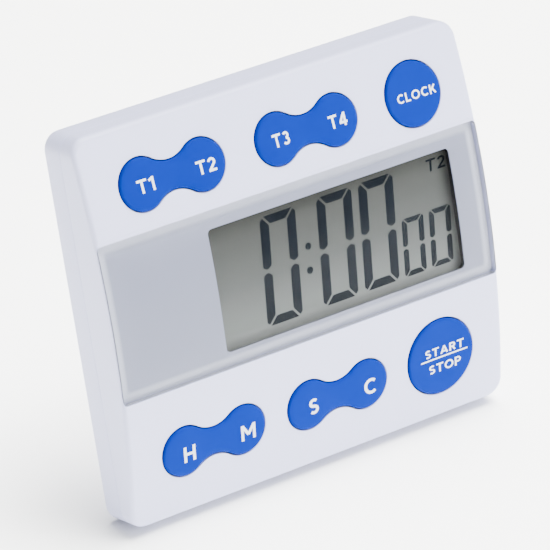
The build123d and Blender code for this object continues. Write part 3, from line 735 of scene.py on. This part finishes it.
def display_film_painted_shade():
    """The grey-green of a reflective display, with painted shade and light: darker towards the top, where
    the mask casts its shadow, and paler at the bottom, against the shade under the mask.
    """
    material = finish("display_film_painted_shade", (0.3, 0.32, 0.3), 0.5, grain=0.2, bump=0.003,
                      Specular_IOR_Level=0.1)
    tree = material.node_tree
    rise = face_coordinates(tree)[1]
    up = calc(tree, "DIVIDE", calc(tree, "SUBTRACT", rise, WINDOW_RISE - WINDOW_H / 2), WINDOW_H)
    colour = ramp(tree, up, FILM_TONES_PAINTED_SHADE)
    tree.links.new(colour, tree.nodes["Principled BSDF"].inputs["Base Color"])
    return material


display_ink = finish("display_ink", (0.007, 0.0095, 0.014), 0.6, grain=0.2, bump=0.002,
                     Specular_IOR_Level=0.05)
glass = wear(build_glass(), display_film_painted_shade(), body="case",
             stands_for=["lcd_front_glass"])
figures = wear(build_figures(), display_ink, body="case")
print("glass:", len(glass.data.polygons), "faces, figures:", len(figures.data.polygons))

# %% [markdown]
# A thin black sleeve closes the gap between the printed mask and the display glass. It is painted shade:
# the wall of the opening lies in shade, and the sleeve makes the thin dark line along the right side of the
# window when seen from the left.

# %% Build the sleeve
SLEEVE_GROW, SLEEVE_T, SLEEVE_PLAY = 0.56, 0.04, 0.01


def build_shade_sleeve():
    """A thin wall round the window, from the glass up to the print."""
    mesh = bmesh.new()
    rings = []
    for grow, top in ((SLEEVE_GROW, False), (SLEEVE_GROW, True), (SLEEVE_GROW + SLEEVE_T, True),
                      (SLEEVE_GROW + SLEEVE_T, False)):
        level = (lambda x, y: crown(y, LENS_T + MASK_T + SLEEVE_PLAY)) if top else GLASS_FRONT + SLEEVE_PLAY
        rings.append(ring(mesh, window_outline(grow), level))
    strips(mesh, rings + rings[:1])
    return finish_mesh(mesh, "display_sleeve", sharp=50)


# painted shade: the sleeve is black where the wall round the window lies in shade
shade_sleeve = wear(build_shade_sleeve(), seal_rubber, body="case")
print("sleeve:", len(shade_sleeve.data.polygons), "faces")

# %% [markdown]
# ## Keys
# Each key top is dished: it falls from its rim to a shallow hollow, and a rocker is lowest at its waist.
# The top is a fill whose depth comes from a small formula, the rim is a rounded edge, and the skirt goes
# straight down into the case. Two tabs behind the face hold the key in.

# %% The tops of the keys
KEY_PROUD, KEY_EDGE_R = 0.45, 0.3
DISH, SADDLE = 0.12, 0.26
BUTTON_DISH = 1.3 * DISH
SHOULDER_W, SHOULDER_FALL = 1.9, 0.12


def edge_distance(outline):
    """A function that measures how far a point is from an outline."""
    points = np.array(outline(0.0))

    def measure(x, y):
        return float(np.sqrt(((points - (x, y)) ** 2).sum(1)).min())
    return measure


def shoulder(distance):
    """The top slopes gently down towards its rim."""
    return SHOULDER_FALL * (1 - min(distance / SHOULDER_W, 1.0)) ** 2


def rocker_top(x0, y0):
    """Top of a rocker: soft shoulders, a shallow dish and a low waist."""
    distance = edge_distance(dumbbell(x0, y0))

    def top(x, y):
        lobe = min(abs(x - x0) / LOBE_OFFSET, 1.0)
        saddle = SADDLE * (1 - lobe ** 2 * (3 - 2 * lobe))
        dish = DISH * max(1 - hypot(abs(x - x0) - LOBE_OFFSET, y - y0) / LOBE_R, 0) ** 1.5
        return crown(y) + KEY_PROUD - saddle - dish - shoulder(distance(x, y))
    return top


def button_top(x0, y0, radius):
    """Top of a round key: soft shoulders round one shallow dish."""
    def top(x, y):
        out = min(hypot(x - x0, y - y0) / radius, 1.0)
        return crown(y) + KEY_PROUD - BUTTON_DISH * (1 - out ** 2) - shoulder(radius * (1 - out))
    return top


print("keys stand", KEY_PROUD, "mm proud of the face")

# %% [markdown]
# The tabs stay below the lowest part of the curved wall that they slide behind, so that a key can tilt
# without its tab cutting into the shell. Every key is built by one function, and its top formula is kept
# by name, because the legends need it later.

# %% Build the six keys
ROCKER_SKIRT, BUTTON_SKIRT = 2.9, 2.25
EAR_L, EAR_W, EAR_T, EAR_R, EAR_OUT = 4.0, 3.6, 0.5, 0.4, 0.8
TOP_SPACING, FOOT_SPACING = 0.5, 1.5


def add_ear(mesh, x, y, skirt):
    """A tab that reaches out behind the face."""
    outline = rounded(EAR_L, EAR_W, EAR_R, x, y, steps=3, sides=(3, 3))()
    top = min(crown(edge, skirt - EAR_T) for edge in (y - EAR_W / 2, y + EAR_W / 2))
    inlay(mesh, outline, crown(y, skirt), top)


def build_key(name, outline, top, skirt, ears):
    """The dished top, its rounded rim, the skirt and the tabs."""
    mesh = bmesh.new()
    rim = round_edge(mesh, outline, top, KEY_EDGE_R, 0.0, steps=7)
    foot = ring(mesh, outline(0.0), lambda x, y: crown(y, skirt))
    strips(mesh, rim + [foot])
    fill(mesh, rim[0], [], top, TOP_SPACING)
    fill(mesh, foot, [], lambda x, y: crown(y, skirt), FOOT_SPACING)
    for x, y in ears:
        add_ear(mesh, x, y, skirt)
    return finish_mesh(mesh, name, sharp=50)


key_tops = {}


def add_key(name, x, y, outline, top, skirt, half_width):
    """Builds a key, gives it its finish and keeps the formula of its top."""
    out = half_width + EAR_OUT - EAR_L / 2
    key_tops[name] = top
    piece = build_key(f"{name}_cap", outline, top, skirt, [(x - out, y), (x + out, y)])
    wear(piece, key_blue, body=f"{name}_key", stands_for=[f"key_{name}"])


for name, (x, y) in ROCKERS.items():
    add_key(name, x, y, dumbbell(x, y), rocker_top(x, y), ROCKER_SKIRT, LOBE_OFFSET + LOBE_R)
for name, (x, y, radius) in BUTTONS.items():
    add_key(name, x, y, disc(x, y, radius), button_top(x, y, radius), BUTTON_SKIRT, radius)
print("keys:", ", ".join(key_tops))

# %% [markdown]
# ## Legends
# The legends say only what the keys do. They could be text curves, but the built-in font is too light,
# and thickening its outlines breaks the sharp corners of an M. Here each letter is drawn from strokes of
# one width, as a sign writer would do it, and the strokes are merged into one outline by triangulation.

# %% Letters from strokes
STROKE = 0.175                       # width of a stroke for capitals one unit high
HALF = STROKE / 2
LETTER_GAP = 0.16


def curve(cx, cy, rx, ry, start, end, steps=14):
    """Points on an ellipse, from one angle to another in degrees."""
    return [(cx + rx * cos(radians(start + (end - start) * i / steps)),
             cy + ry * sin(radians(start + (end - start) * i / steps))) for i in range(steps + 1)]


STEM = [(HALF, 0), (HALF, 1)]
# each letter: its width, then its strokes as lines of points
LETTERS = {
    "T": (0.74, [(0, 1 - HALF), (0.74, 1 - HALF)], [(0.37, 0), (0.37, 1)]),
    "1": (0.42, [(0.31, 0), (0.31, 1)], [(0.02, 0.76), (0.31, 0.93)]),
    "2": (0.64, curve(0.31, 0.69, 0.215, 0.215, 170, -38) + [(0.12, 0.12)],
          [(0.02, HALF), (0.62, HALF)]),
    "3": (0.62, curve(0.30, 0.71, 0.19, 0.195, 150, -90), curve(0.30, 0.30, 0.22, 0.205, 90, -150)),
    "4": (0.72, [(0.50, 0), (0.50, 1)], [(0.46, 0.92), (0.10, 0.30)], [(0.03, 0.27), (0.70, 0.27)]),
    "C": (0.78, curve(0.45, 0.5, 0.36, 0.405, 48, 312)),
    "L": (0.56, STEM, [(0, HALF), (0.56, HALF)]),
    "O": (0.94, curve(0.47, 0.5, 0.38, 0.405, 0, 360, 28)),
    "K": (0.72, STEM, [(0.14, 0.38), (0.60, 0.96)], [(0.30, 0.58), (0.62, 0.04)]),
    "S": (0.66, curve(0.33, 0.705, 0.215, 0.20, 38, 262), curve(0.33, 0.30, 0.225, 0.205, 98, -142)),
    "A": (0.86, [(0.09, 0.02), (0.43, 0.94)], [(0.77, 0.02), (0.43, 0.94)],
          [(0.22, 0.27), (0.64, 0.27)]),
    "R": (0.70, STEM, [(HALF, 1 - HALF), (0.33, 1 - HALF)] + curve(0.35, 0.69, 0.21, 0.215, 90, -90)
          + [(HALF, 0.475)], [(0.36, 0.46), (0.60, 0.03)]),
    "P": (0.66, STEM, [(HALF, 1 - HALF), (0.33, 1 - HALF)] + curve(0.35, 0.68, 0.21, 0.225, 90, -90)
          + [(HALF, 0.455)]),
    "H": (0.76, STEM, [(0.665, 0), (0.665, 1)], [(HALF, 0.5), (0.665, 0.5)]),
    "M": (0.96, STEM, [(0.865, 0), (0.865, 1)], [(0.12, 0.93), (0.48, 0.34)],
          [(0.84, 0.93), (0.48, 0.34)]),
}
print("letters:", " ".join(LETTERS))

# %% [markdown]
# A stroke becomes four-sided pieces with mitred joints. Laid over each other they overlap, so the
# triangulation is given all of them as faces: it returns triangles that know which pieces own them, and
# every triangle that has an owner is ink.

# %% Turn strokes into words
LONGEST_MITRE = 0.5                  # the cosine that stops a sharp corner from growing a spike
LETTER_WELD = 1e-5


def stroke_quads(points, half):
    """Four-cornered pieces along a line of points, mitred where they meet."""
    line = [Vector(point) for point in points]
    sides = []
    for i, point in enumerate(line):
        before = (point - line[i - 1]).normalized() if i else None
        after = (line[i + 1] - point).normalized() if i + 1 < len(line) else None
        way = ((before or after) + (after or before)).normalized()
        stretch = 1 / max(way.dot(after or before), LONGEST_MITRE)
        across = Vector((-way.y, way.x)) * half * stretch
        sides.append((point + across, point - across))
    return [(a[0], a[1], b[1], b[0]) for a, b in zip(sides, sides[1:])]


def word(text, height, width, stroke=STROKE):
    """Flat triangles of a word centred on the origin, with all its strokes merged."""
    quads, x = [], 0.0
    for letter in text:
        size, *paths = LETTERS[letter]
        for path in paths:
            quads += stroke_quads([(px + x, py) for px, py in path], stroke / 2)
        x += size + LETTER_GAP
    total = x - LETTER_GAP
    squeeze = width / (total * height)
    corners = [Vector(((corner.x - total / 2) * height * squeeze, (corner.y - 0.5) * height))
               for quad in quads for corner in quad]
    faces = [tuple(range(i, i + 4)) for i in range(0, len(corners), 4)]
    places, _, pieces, _, _, owners = delaunay_2d_cdt(corners, [], faces, 0, LETTER_WELD)
    mesh = bmesh.new()
    made = [mesh.verts.new((place.x, place.y, 0)) for place in places]
    for piece, owner in zip(pieces, owners):
        if owner:
            mesh.faces.new([made[i] for i in piece])
    bmesh.ops.delete(mesh, geom=[vertex for vertex in made if not vertex.link_faces], context="VERTS")
    return mesh


print("letters stand", LETTER_GAP, "of their height apart")

# %% [markdown]
# Each word is laid on the dished top of its key: every point takes its depth from the same formula as the
# key, plus the thickness of the ink, so the print follows the surface instead of floating over it.

# %% Lay ink on a curved top
INK_RAISE, INK_SINK = 0.02, 0.05


def lay(mesh, x, y, surface):
    """Moves a flat mesh onto a surface and gives it a thickness."""
    for vertex in mesh.verts:
        vertex.co.x += x
        vertex.co.y += y
        vertex.co.z = surface(vertex.co.x, vertex.co.y) + INK_RAISE
    grown = bmesh.ops.extrude_face_region(mesh, geom=mesh.faces[:])
    for item in grown["geom"]:
        if isinstance(item, bmesh.types.BMVert):
            item.co.z -= INK_SINK
    return mesh


def rule(length, width, steps):
    """A thin flat line in short steps, so that it can bend with the key."""
    mesh = bmesh.new()
    rows = [[mesh.verts.new((length * (i / steps - 0.5), side * width / 2, 0)) for i in range(steps + 1)]
            for side in (-1, 1)]
    for i in range(steps):
        mesh.faces.new((rows[0][i], rows[0][i + 1], rows[1][i + 1], rows[1][i]))
    return mesh


def join_meshes(meshes):
    """Several meshes in one."""
    whole = bmesh.new()
    for part in meshes:
        data = bpy.data.meshes.new("part")
        part.to_mesh(data)
        part.free()
        whole.from_mesh(data)
        bpy.data.meshes.remove(data)
    return whole


print("ink is", INK_SINK, "mm thick")

# %% Print the legends on the keys
# each word: its text, its middle (x and rise), its height and its width
LEGENDS = {
    "t1_t2": [("T1", -26.6, 23.2, 2.25, 3.3), ("T2", -15.0, 23.1, 2.25, 3.75)],
    "t3_t4": [("T3", -0.17, 23.3, 2.2, 3.3), ("T4", 11.2, 23.3, 2.2, 3.6)],
    "h_m": [("H", -26.5, -22.8, 2.75, 2.3), ("M", -14.9, -22.8, 2.75, 2.8)],
    "s_c": [("S", -1.65, -22.65, 2.85, 2.0), ("C", 9.9, -22.8, 2.85, 2.45)],
    "clock": [("CLOCK", 27.3, 23.3, 1.55, 7.9)],
    "start_stop": [("START", 25.5, -21.07, 1.5, 8.1), ("STOP", 25.5, -24.1, 1.6, 6.7)],
}
LINE_X, LINE_RISE, LINE_L, LINE_W, LINE_STEPS = 25.4, -22.3, 9.7, 0.26, 24

for name, words in LEGENDS.items():
    parts = [lay(word(text, height, width), x, y, key_tops[name])
             for text, x, y, height, width in words]
    if name == "start_stop":
        parts.append(lay(rule(LINE_L, LINE_W, LINE_STEPS), LINE_X, LINE_RISE, key_tops[name]))
    legend = finish_mesh(join_meshes(parts), f"{name}_legend", sharp=60)
    wear(legend, legend_white, body=f"{name}_key")
    print(name, "legend:", len(legend.data.polygons), "faces")

# %% [markdown]
# The display also shows which channel runs, in small letters at its top right. They come from the same
# strokes, a little thinner, and lean over like the figures.

# %% The small mark at the top right of the display
MARK_X, MARK_RISE, MARK_H, MARK_W, MARK_STROKE = 30.35, 10.07, 2.15, 4.0, 0.15
mark = lay(word("T2", MARK_H, MARK_W, MARK_STROKE), MARK_X, MARK_RISE, lambda x, y: GLASS_FRONT + INK_SINK)
for vertex in mark.verts:
    vertex.co.x += SLANT * (vertex.co.y - MARK_RISE)
mark = wear(finish_mesh(mark, "display_mark"), display_ink, body="case")
print("display mark:", len(mark.data.polygons), "faces")

# %% [markdown]
# ## Parts that keep their CAD shape
# The back of the timer, its stand, door and magnets already have the right shape. A copy of each mesh is
# welded, its flat faces are merged, and a Bevel modifier rounds the edges that a mould or a press would
# leave rounded. The result is kept as a plain mesh, and the CAD part is hidden behind it.

# %% Soften the CAD parts that show
SHARP_ANGLE, FLAT_ANGLE = 28.0, 0.5  # degrees: edges that get rounded, and faces that are merged
BEVEL_SEGMENTS = 3
CAD_WELD = 1e-7                      # metres


def evaluated_mesh(piece):
    """The mesh of an object as its modifiers leave it."""
    return bpy.data.meshes.new_from_object(piece.evaluated_get(bpy.context.evaluated_depsgraph_get()))


def softened(node, name, width):
    """A welded copy of a CAD node with its sharp edges rounded."""
    mesh = bmesh.new()
    mesh.from_mesh(nodes[node].data)
    bmesh.ops.remove_doubles(mesh, verts=mesh.verts[:], dist=CAD_WELD)
    bmesh.ops.dissolve_limit(mesh, angle_limit=radians(FLAT_ANGLE), verts=mesh.verts[:],
                             edges=mesh.edges[:])
    data = bpy.data.meshes.new(name)
    mesh.to_mesh(data)
    mesh.free()
    piece = bpy.data.objects.new(name, data)
    bpy.context.scene.collection.objects.link(piece)
    bevel = piece.modifiers.new("rounding", "BEVEL")
    bevel.width = width * MM
    bevel.segments = BEVEL_SEGMENTS
    bevel.limit_method = "ANGLE"
    bevel.angle_limit = radians(SHARP_ANGLE)
    shaped = evaluated_mesh(piece)
    piece.modifiers.clear()
    piece.data = shaped
    bpy.data.meshes.remove(data)
    shaped.name = name
    shaped.shade_smooth()
    shaped.set_sharp_from_angle(angle=radians(SHARP_ANGLE))
    return piece


SOFTENED = {
    "rear_shell": ("rear_shell_moulding", 0.12, case_white, "case", "case_white"),
    "stand": ("stand_plate", 0.2, stand_white, "stand_arm", "stand_white"),
    "stand_foot": ("stand_rubber_foot", 0.15, foot_rubber, "stand_arm", "foot_rubber"),
    "battery_door": ("battery_door_disc", 0.12, stand_white, "door", "door_white"),
    "magnets": ("magnet_discs", 0.2, magnet_nickel, "case", "magnet_nickel"),
}
for node, (name, width, material, body, slot) in SOFTENED.items():
    piece = softened(node, name, width)
    wear(piece, material, body=body, stands_for=[node])
    print(name, len(piece.data.polygons), "faces")

# %% [markdown]
# The parts inside can't be seen while the case is closed, but each may be looked at by itself. They keep
# their CAD meshes and only get a finish: rubber mats, green board, plated steel and brass.

# %% Finish the parts inside
INSIDE = {
    "lcd_rear_glass": frame_white, "lcd_reflector": frame_white, "lcd_frame": frame_white,
    "contact_strips": strip_rubber, "circuit_board": board_green, "chip_cover": chip_black,
    "quartz_crystal": bright_steel, "board_parts": part_tan, "keypad_upper": mat_rubber,
    "keypad_lower": mat_rubber, "buzzer_disc": buzzer_brass, "buzzer_ceramic": buzzer_cream,
    "buzzer_springs": spring_steel, "button_cell": bright_steel, "contact_minus": spring_steel,
    "contact_plus": spring_steel, "door_seal": seal_rubber, "stand_pin": bright_steel,
}
for node, material in INSIDE.items():
    nodes[node].data.materials.clear()
    nodes[node].data.materials.append(material)
print(len(INSIDE), "inner parts finished")

# %% [markdown]
# ## Screws
# Four screws close the case from behind and four more hold the board. They are all the same, so one screw
# is modelled and Geometry Nodes set it on points. The tree turns each one by a random angle, because no
# two screws stop at the same place, and ends by making the copies real and giving them their finish.

# %% Model one screw
# radius and height of each ring, from the tip of the shank to the flat of the head
HEAD_PROFILE = [(0.8, -3.0), (0.8, 0.0), (1.75, 0.0), (1.75, 0.5), (1.64, 0.74), (1.42, 0.9),
                (1.15, 0.98)]
HEAD_TOP, HEAD_SPACING = HEAD_PROFILE[-1][1], 0.5
CROSS_L, CROSS_W, CROSS_DEPTH, CROSS_TAPER = 1.0, 0.22, 0.62, 0.8


def build_screw():
    """A pan-head screw that points down. Its head sits on the zero plane."""
    mesh = bmesh.new()
    rings = [ring(mesh, disc(0, 0, radius, steps=40)(), height) for radius, height in HEAD_PROFILE]
    strips(mesh, rings)
    mesh.faces.new(list(reversed(rings[0])))
    arm = [(CROSS_L, -CROSS_W), (CROSS_L, CROSS_W), (CROSS_W, CROSS_W)]
    cross = [(x * cos(turn) - y * sin(turn), x * sin(turn) + y * cos(turn))
             for turn in (0, pi / 2, pi, 3 * pi / 2) for x, y in arm]
    mouth = ring(mesh, cross, HEAD_TOP)
    tapered = [(x * CROSS_TAPER, y * CROSS_TAPER) for x, y in cross]
    floor_ring = ring(mesh, tapered, HEAD_TOP - CROSS_DEPTH)
    strip(mesh, mouth, floor_ring)
    mesh.faces.new(floor_ring)
    fill(mesh, rings[-1], [mouth], HEAD_TOP, HEAD_SPACING)
    return finish_mesh(mesh, "screw_pattern", place=Matrix.Identity(4))


screw = build_screw()
print("screw:", len(screw.data.polygons), "faces")

# %% [markdown]
# The tree has four named inputs: the places, the screw, its finish and a seed. It turns the screw over,
# because it was drawn head up and goes in from behind, and then turns it about its own axis.


# %% Build the tree that sets screws on points
def value_socket(sockets, name):
    """The socket of a many-typed node that carries a plain number."""
    return next(socket for socket in sockets if socket.name == name and socket.type == "VALUE")


def screw_tree():
    """Screws on points: turned over, turned at random, made real and given their finish."""
    tree = bpy.data.node_groups.new("screws_on_points", "GeometryNodeTree")
    for label, kind in (("Places", "Geometry"), ("Screw", "Object"), ("Finish", "Material"),
                        ("Seed", "Int")):
        tree.interface.new_socket(label, in_out="INPUT", socket_type="NodeSocket" + kind)
    tree.interface.new_socket("Screws", in_out="OUTPUT", socket_type="NodeSocketGeometry")
    start, end = tree.nodes.new("NodeGroupInput"), tree.nodes.new("NodeGroupOutput")
    pattern = tree.nodes.new("GeometryNodeObjectInfo")
    turn = tree.nodes.new("FunctionNodeRandomValue")
    turn.data_type = "FLOAT"
    angle = tree.nodes.new("ShaderNodeCombineXYZ")
    angle.inputs["X"].default_value = pi
    rotation = tree.nodes.new("FunctionNodeEulerToRotation")
    copies = tree.nodes.new("GeometryNodeInstanceOnPoints")
    real = tree.nodes.new("GeometryNodeRealizeInstances")
    painted = tree.nodes.new("GeometryNodeSetMaterial")
    value_socket(turn.inputs, "Max").default_value = tau
    for out, into in ((start.outputs["Places"], copies.inputs["Points"]),
                      (start.outputs["Screw"], pattern.inputs["Object"]),
                      (pattern.outputs["Geometry"], copies.inputs["Instance"]),
                      (start.outputs["Seed"], turn.inputs["Seed"]),
                      (value_socket(turn.outputs, "Value"), angle.inputs["Z"]),
                      (angle.outputs["Vector"], rotation.inputs["Euler"]),
                      (rotation.outputs["Rotation"], copies.inputs["Rotation"]),
                      (copies.outputs["Instances"], real.inputs["Geometry"]),
                      (real.outputs["Geometry"], painted.inputs["Geometry"]),
                      (start.outputs["Finish"], painted.inputs["Material"]),
                      (painted.outputs["Geometry"], end.inputs["Screws"])):
        tree.links.new(out, into)
    return tree


tree = screw_tree()
print(tree.name, "has", len(tree.nodes), "nodes")

# %% [markdown]
# The points are the vertices of a small mesh. The modifier's inputs are set by their identifiers before
# the object is first evaluated. What it makes is read back as a plain mesh and moved to the face plane.

# %% Set the screws
SCREW_X, SCREW_RISE, HEAD_ROOM = 33.6, 29.0, 1.2
CASE_SEAT, BOARD_SEAT = RIM_DEPTH + HEAD_ROOM, 3.6
BOARD_SCREWS = [(-26.0, 12.0), (-26.0, -8.0), (-8.1, 22.0), (15.2, -27.5)]
CASE_SEED, BOARD_SEED = 3, 5
SCREW_SHARP = 35.0
sockets = {item.name: item.identifier for item in tree.interface.items_tree if item.in_out == "INPUT"}


def set_screws(name, places, seat, seed, node):
    """Screws at some places on the face plane, as one plain mesh."""
    data = bpy.data.meshes.new(name + "_places")
    data.from_pydata([(x, y, seat) for x, y in places], [], [])
    holder = bpy.data.objects.new(name, data)
    bpy.context.scene.collection.objects.link(holder)
    spread = holder.modifiers.new("screws", "NODES")
    spread.node_group = tree
    spread[sockets["Screw"]] = screw
    spread[sockets["Finish"]] = screw_zinc
    spread[sockets["Seed"]] = seed
    made = evaluated_mesh(holder)
    holder.modifiers.clear()
    made.transform(FACE)
    holder.data = made
    made.shade_smooth()
    made.set_sharp_from_angle(angle=radians(SCREW_SHARP))
    wear(holder, screw_zinc, body="case", stands_for=[node])
    print(name, len(made.polygons), "faces")


corners = [(x, y) for x in (-SCREW_X, SCREW_X) for y in (-SCREW_RISE, SCREW_RISE)]
set_screws("case_screw_set", corners, CASE_SEAT, CASE_SEED, "case_screws")
set_screws("board_screw_set", BOARD_SCREWS, BOARD_SEAT, BOARD_SEED, "board_screws")
bpy.data.objects.remove(screw)

# %% [markdown]
# ## Camera, floor and light
# The camera looks from the front left and from above, through a long lens, so the case keeps its
# proportions. It is placed by two angles and a distance round the point that it aims at.

# %% Camera
CAMERA_TURN, CAMERA_TILT, CAMERA_AWAY = -35.41, 29.85, 741.4
CAMERA_LENS, CAMERA_SENSOR = 294.62, 36.0
AIM = Vector((-1.598, -3.361, 32.631)) * MM


def aim_at_timer(holder, turn, tilt, distance):
    """Puts a camera or a lamp round the timer by two angles and a distance, and points it there."""
    turn, tilt = radians(turn), radians(tilt)
    away = Vector((sin(turn) * cos(tilt), -cos(turn) * cos(tilt), sin(tilt)))
    holder.location = AIM + away * distance
    holder.rotation_euler = (-away).to_track_quat("-Z", "Y").to_euler()
    bpy.context.scene.collection.objects.link(holder)


camera = bpy.data.objects.new("camera", bpy.data.cameras.new("camera"))
camera.data.lens = CAMERA_LENS
camera.data.sensor_width = CAMERA_SENSOR
aim_at_timer(camera, CAMERA_TURN, CAMERA_TILT, CAMERA_AWAY * MM)
bpy.context.scene.camera = camera
print("camera", CAMERA_AWAY, "mm away")

# %% [markdown]
# The floor is a plain white sheet. A pale world fills the shadows. One soft lamp stands high on the right
# and makes the shading, a weaker one in front lights the face, and a third lights only the floor, through
# light linking, so that the floor is pale without the case being too bright.

# %% Floor and world
FLOOR_HALF, FLOOR_PARTS = 4.0, 4
WORLD_TINT, WORLD_STRENGTH = (0.94, 0.96, 1.0, 1), 0.52
floor_mesh = bmesh.new()
bmesh.ops.create_grid(floor_mesh, x_segments=FLOOR_PARTS, y_segments=FLOOR_PARTS, size=FLOOR_HALF)
floor = finish_mesh(floor_mesh, "floor", place=Matrix.Identity(4))
floor_finish = finish("floor_paper", (0.93, 0.93, 0.90), 0.9, grain=2.0, bump=0.0, vary=0.0)
floor.data.materials.append(floor_finish)

world = bpy.data.worlds.new("studio")
bpy.context.scene.world = world
world.use_nodes = True
world.node_tree.nodes["Background"].inputs["Color"].default_value = WORLD_TINT
world.node_tree.nodes["Background"].inputs["Strength"].default_value = WORLD_STRENGTH
print("floor", 2 * FLOOR_HALF, "m wide")


# %% Lamps
def lamp(name, turn, tilt, distance, size, power, only=None):
    """A square area lamp that points at the timer, and may light one thing only."""
    light = bpy.data.lights.new(name, "AREA")
    light.size = size
    light.energy = power
    holder = bpy.data.objects.new(name, light)
    aim_at_timer(holder, turn, tilt, distance)
    if only:
        group = bpy.data.collections.new(name + "_lights")
        group.objects.link(only)
        holder.light_linking.receiver_collection = group


# each lamp: turn and tilt in degrees, distance and size in metres, power in watts
lamp("key_lamp", 70, 71, 0.9, 0.6, 25.0)
lamp("front_lamp", 35, 22, 1.2, 0.7, 11.5)
lamp("floor_lamp", 150, 68, 1.6, 1.0, 72.0, only=floor)
print(len(bpy.data.lights), "lamps")
